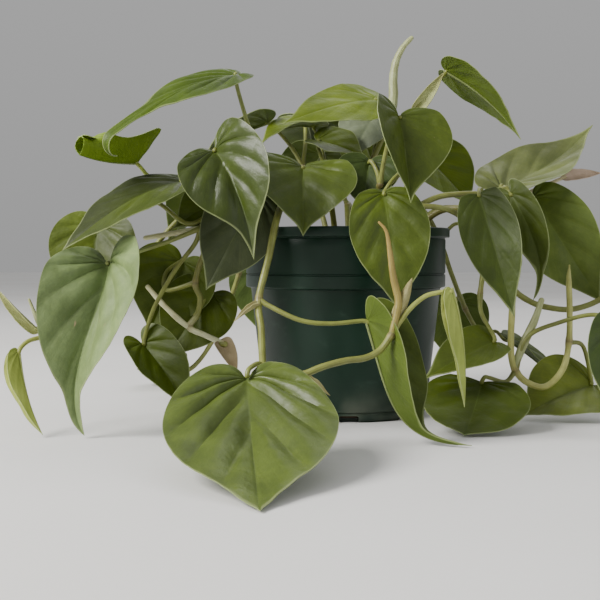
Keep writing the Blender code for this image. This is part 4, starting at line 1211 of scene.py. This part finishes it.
def add_drain_slot(turn):
    """A cutter with rounded corners across the pot's foot."""
    place = (BASE_RADIUS * cos(turn) * MM, BASE_RADIUS * sin(turn) * MM, 0)
    slot = start_from(bpy.ops.mesh.primitive_cube_add, size=1, location=place, rotation=(0, 0, turn))
    slot.scale = (SLOT_DEPTH * MM, SLOT_WIDTH * MM, 2 * SLOT_HEIGHT * MM)
    bpy.ops.object.transform_apply(location=False, rotation=False, scale=True)
    shape_with(slot, "BEVEL", width=SLOT_CORNER * MM, segments=4)
    return slot


def make_pot():
    """The pot, drawn up from its bottom, turned in at the lip and down to its floor."""
    line = pot_outside() + pot_inside()
    pot = start_from(bpy.ops.mesh.primitive_circle_add, vertices=POT_SIDES, radius=line[0][0] * MM,
                     fill_type="NGON")
    bpy.ops.object.mode_set(mode="EDIT")
    bpy.ops.mesh.select_all(action="SELECT")
    raise_wall(line)
    bpy.ops.mesh.select_all(action="SELECT")
    bpy.ops.mesh.normals_make_consistent(inside=False)
    bpy.ops.object.mode_set(mode="OBJECT")
    slots = [add_drain_slot(2 * pi * number / SLOT_COUNT - pi / 2) for number in range(SLOT_COUNT)]
    for slot in slots:
        shape_with(pot, "BOOLEAN", operation="DIFFERENCE", solver="EXACT", object=slot)
        bpy.data.objects.remove(slot, do_unlink=True)
    pot.name = "nursery_pot"
    pot.data.materials.clear()
    pot.data.materials.append(pot_finish())
    smooth_faces(pot, 35)
    place_piece(pot, "pot")


def soil_height(lump_ways, x, y):
    """Height of the mix at a place: a low mound with lumps."""
    out = np.minimum(np.hypot(x, y) / SOIL_RADIUS, 1)
    lumps = sum(share * np.sin(way[0] * x + way[1] * y + way[2]) for share, way in lump_ways)
    return SOIL_TOP + SOIL_MOUND * (1 - out ** 2) + SOIL_LUMP * lumps * (1 - out ** 6)


def make_soil_bed(lump_ways):
    """The bed of mix: an uneven top, and sides that follow the inside of the pot."""
    gap = SOIL_CLEARANCE
    side = [(SOIL_RADIUS, FLANGE_HIGH), (pot_inner_radius(FLANGE_LOW) - gap, FLANGE_LOW),
            (pot_inner_radius(FOOT_HEIGHT) - gap, FOOT_HEIGHT),
            (BASE_RADIUS - WALL - BASE_EDGE - gap, FLOOR + gap), (0, FLOOR + gap)]
    radii = list(np.linspace(0, SOIL_RADIUS, SOIL_RINGS)) + [radius for radius, _ in side]
    bed, across, along = lay_grid("soil_bed", SOIL_SPOKES, len(radii) - 1)
    ring = np.rint(along * (len(radii) - 1)).astype(int)
    turn = -(across + 1) * pi
    radius = np.array(radii)[ring]
    x, y = radius * np.cos(turn), radius * np.sin(turn)
    low = np.array([0.0] * SOIL_RINGS + [height for _, height in side])[ring]
    z = np.where(ring < SOIL_RINGS, soil_height(lump_ways, x, y), low)
    write_points(bed, np.stack([x, y, z], 1) * MM)
    add_tint(bed, np.tile(LOOKS["peat"], (len(x), 1)))
    close_seams(bed)
    return bed


def add_crumb(kind):
    """One rough crumb, about 1 across, as a start for many."""
    if kind == "grain":
        return start_from(bpy.ops.mesh.primitive_ico_sphere_add, subdivisions=2, radius=0.5)
    chip = start_from(bpy.ops.mesh.primitive_cube_add, size=1)
    bpy.ops.object.mode_set(mode="EDIT")
    bpy.ops.mesh.select_all(action="SELECT")
    bpy.ops.mesh.subdivide(number_cuts=1)
    bpy.ops.mesh.vertices_smooth(factor=0.45)
    bpy.ops.object.mode_set(mode="OBJECT")
    return chip


def scatter(luck, crumb, lump_ways):
    """Copies of one crumb, each with its own mesh, strewn over the mix."""
    rim = SOIL_RADIUS - SOIL_CLEARANCE
    model = add_crumb(crumb.kind)
    shape = read_points(model)
    strewn = []
    for _ in range(crumb.count):
        out, turn = rim * luck.random() ** 0.5, luck.uniform(0, 2 * pi)
        long = luck.uniform(*crumb.long)
        size = np.array([long, long * luck.uniform(*crumb.wide), long * luck.uniform(*crumb.high)])
        out = min(out, rim - long * 0.75)
        x, y = out * cos(turn), out * sin(turn)
        copy = model.copy()
        copy.data = model.data.copy()
        bpy.context.scene.collection.objects.link(copy)
        rough = shape * size * (1 + 0.35 * slow_waves(luck, shape, 0.9))[:, None]
        spin, lean = luck.uniform(0, 2 * pi), luck.uniform(-0.5, 0.5)
        tipped = rough @ np.array([[1, 0, 0], [0, cos(lean), -sin(lean)], [0, sin(lean), cos(lean)]])
        turned = tipped @ np.array([[cos(spin), sin(spin), 0], [-sin(spin), cos(spin), 0], [0, 0, 1]])
        height = float(soil_height(lump_ways, np.array(x), np.array(y))) + size[2] * (0.5 - crumb.sunk)
        write_points(copy, (turned + (x, y, height)) * MM)
        add_tint(copy, np.tile(LOOKS[crumb.kind] * luck.uniform(*crumb.shade), (len(shape), 1)))
        strewn.append(copy)
    bpy.data.objects.remove(model, do_unlink=True)
    return strewn


def add_fibre(number, luck, lump_ways, finish):
    """A thin bent fibre that lies on the mix."""
    out, turn = FIBRE_REACH * luck.random() ** 0.5, luck.uniform(0, 2 * pi)
    x, y, way = out * cos(turn), out * sin(turn), luck.uniform(0, 2 * pi)
    steps = np.linspace(-1, 1, FIBRE_POINTS) * luck.uniform(2.5, 6)
    hook = luck.uniform(-0.12, 0.12) * steps ** 2
    xs, ys = x + steps * cos(way) - hook * sin(way), y + steps * sin(way) + hook * cos(way)
    zs = soil_height(lump_ways, xs, ys) + 0.35 + 0.3 * np.cos(steps)
    colour = LOOKS["fibre"] * luck.uniform(0.5, 1.3)
    return add_cane(f"fibre_{number}", np.stack([xs, ys, zs], 1), [FIBRE_RADIUS] * FIBRE_POINTS,
                    [colour] * FIBRE_POINTS, finish, sides=5)


def make_mix():
    """Potting mix: dark peat strewn with bark chips, pale grit and loose fibres."""
    luck = Random(7)
    lump_ways = []
    for share, pitch in LUMPS:
        way = (luck.uniform(-1, 1) * pitch, luck.uniform(-1, 1) * pitch, luck.uniform(0, 2 * pi))
        lump_ways.append((share, way))
    pieces = [make_soil_bed(lump_ways)]
    for crumb in CRUMBS:
        pieces += scatter(luck, crumb, lump_ways)
    finish = mix_finish()
    for piece in pieces:
        piece.data.materials.append(finish)
    pieces += [add_fibre(number, luck, lump_ways, finish) for number in range(PEAT_FIBRES)]
    mix = join_pieces("peat_and_bark", pieces)
    smooth_faces(mix, 60)
    place_piece(mix, "potting_mix")


def add_floor():
    floor = start_from(bpy.ops.mesh.primitive_plane_add, size=FLOOR_SPAN)
    floor.name = "pale_floor"
    floor.data.materials.append(floor_finish())


def set_up(name, data):
    """A light or a camera, put in the studio."""
    thing = bpy.data.objects.new(name, data)
    bpy.context.scene.collection.objects.link(thing)
    return thing


def add_light(name, place, width, power, colour):
    lamp = bpy.data.lights.new(name, "AREA")
    lamp.shape = "DISK"
    lamp.size = width
    lamp.energy = power
    lamp.color = colour
    light = set_up(name, lamp)
    light.location = place
    light.rotation_euler = (Vector(LIT_PLACE) - Vector(place)).to_track_quat("-Z", "Y").to_euler()


def light_studio():
    """A large soft light from the upper left, a weaker one from the right and one from behind."""
    add_light("window_side", (-1.25, -0.7, 1.05), 0.9, 52, (1.0, 0.98, 0.95))
    add_light("fill_side", (1.3, -0.9, 0.7), 1.2, 5, (0.95, 0.98, 1.0))
    add_light("behind", (0.3, 1.2, 1.3), 1.2, 7, (1.0, 1.0, 1.0))
    world = bpy.data.worlds.new("studio")
    world.use_nodes = True
    nodes, links = world.node_tree.nodes, world.node_tree.links
    backdrop = nodes["Background"]
    height = nodes.new("ShaderNodeSeparateXYZ")
    links.new(nodes.new("ShaderNodeTexCoord").outputs["Generated"], height.inputs[0])
    rise = nodes.new("ShaderNodeMapRange")
    rise.inputs["From Max"].default_value = BRIGHTEST_HEIGHT
    rise.inputs["To Min"].default_value = HORIZON_SHARE
    links.new(height.outputs["Z"], rise.inputs["Value"])
    links.new(rise.outputs[0], backdrop.inputs["Color"])
    backdrop.inputs["Strength"].default_value = ROOM_LIGHT
    bpy.context.scene.world = world


def add_camera():
    view = bpy.data.cameras.new("camera")
    view.lens = LENS
    view.sensor_width = SENSOR
    camera = set_up("camera", view)
    camera.location = [v * MM for v in CAMERA_PLACE]
    camera.rotation_euler = (radians(90 - CAMERA_DIP), 0, 0)
    bpy.context.scene.camera = camera


def main():
    add_camera()
    light_studio()
    add_floor()
    make_pot()
    make_mix()
    satin = leaf_upper_finish("leaf_upper", 0.1, 0.46, 0.62)
    glossy = leaf_upper_finish("leaf_upper_glossy", 0.26, 0.34, 0.48)
    leaf_finishes = [satin, leaf_under_finish(), leaf_edge_finish()]
    cane, papery = cane_finish(), sheath_finish()
    for name, vine in VINES.items():
        dress_vine(name, vine, leaf_finishes, glossy, cane, papery)


main()
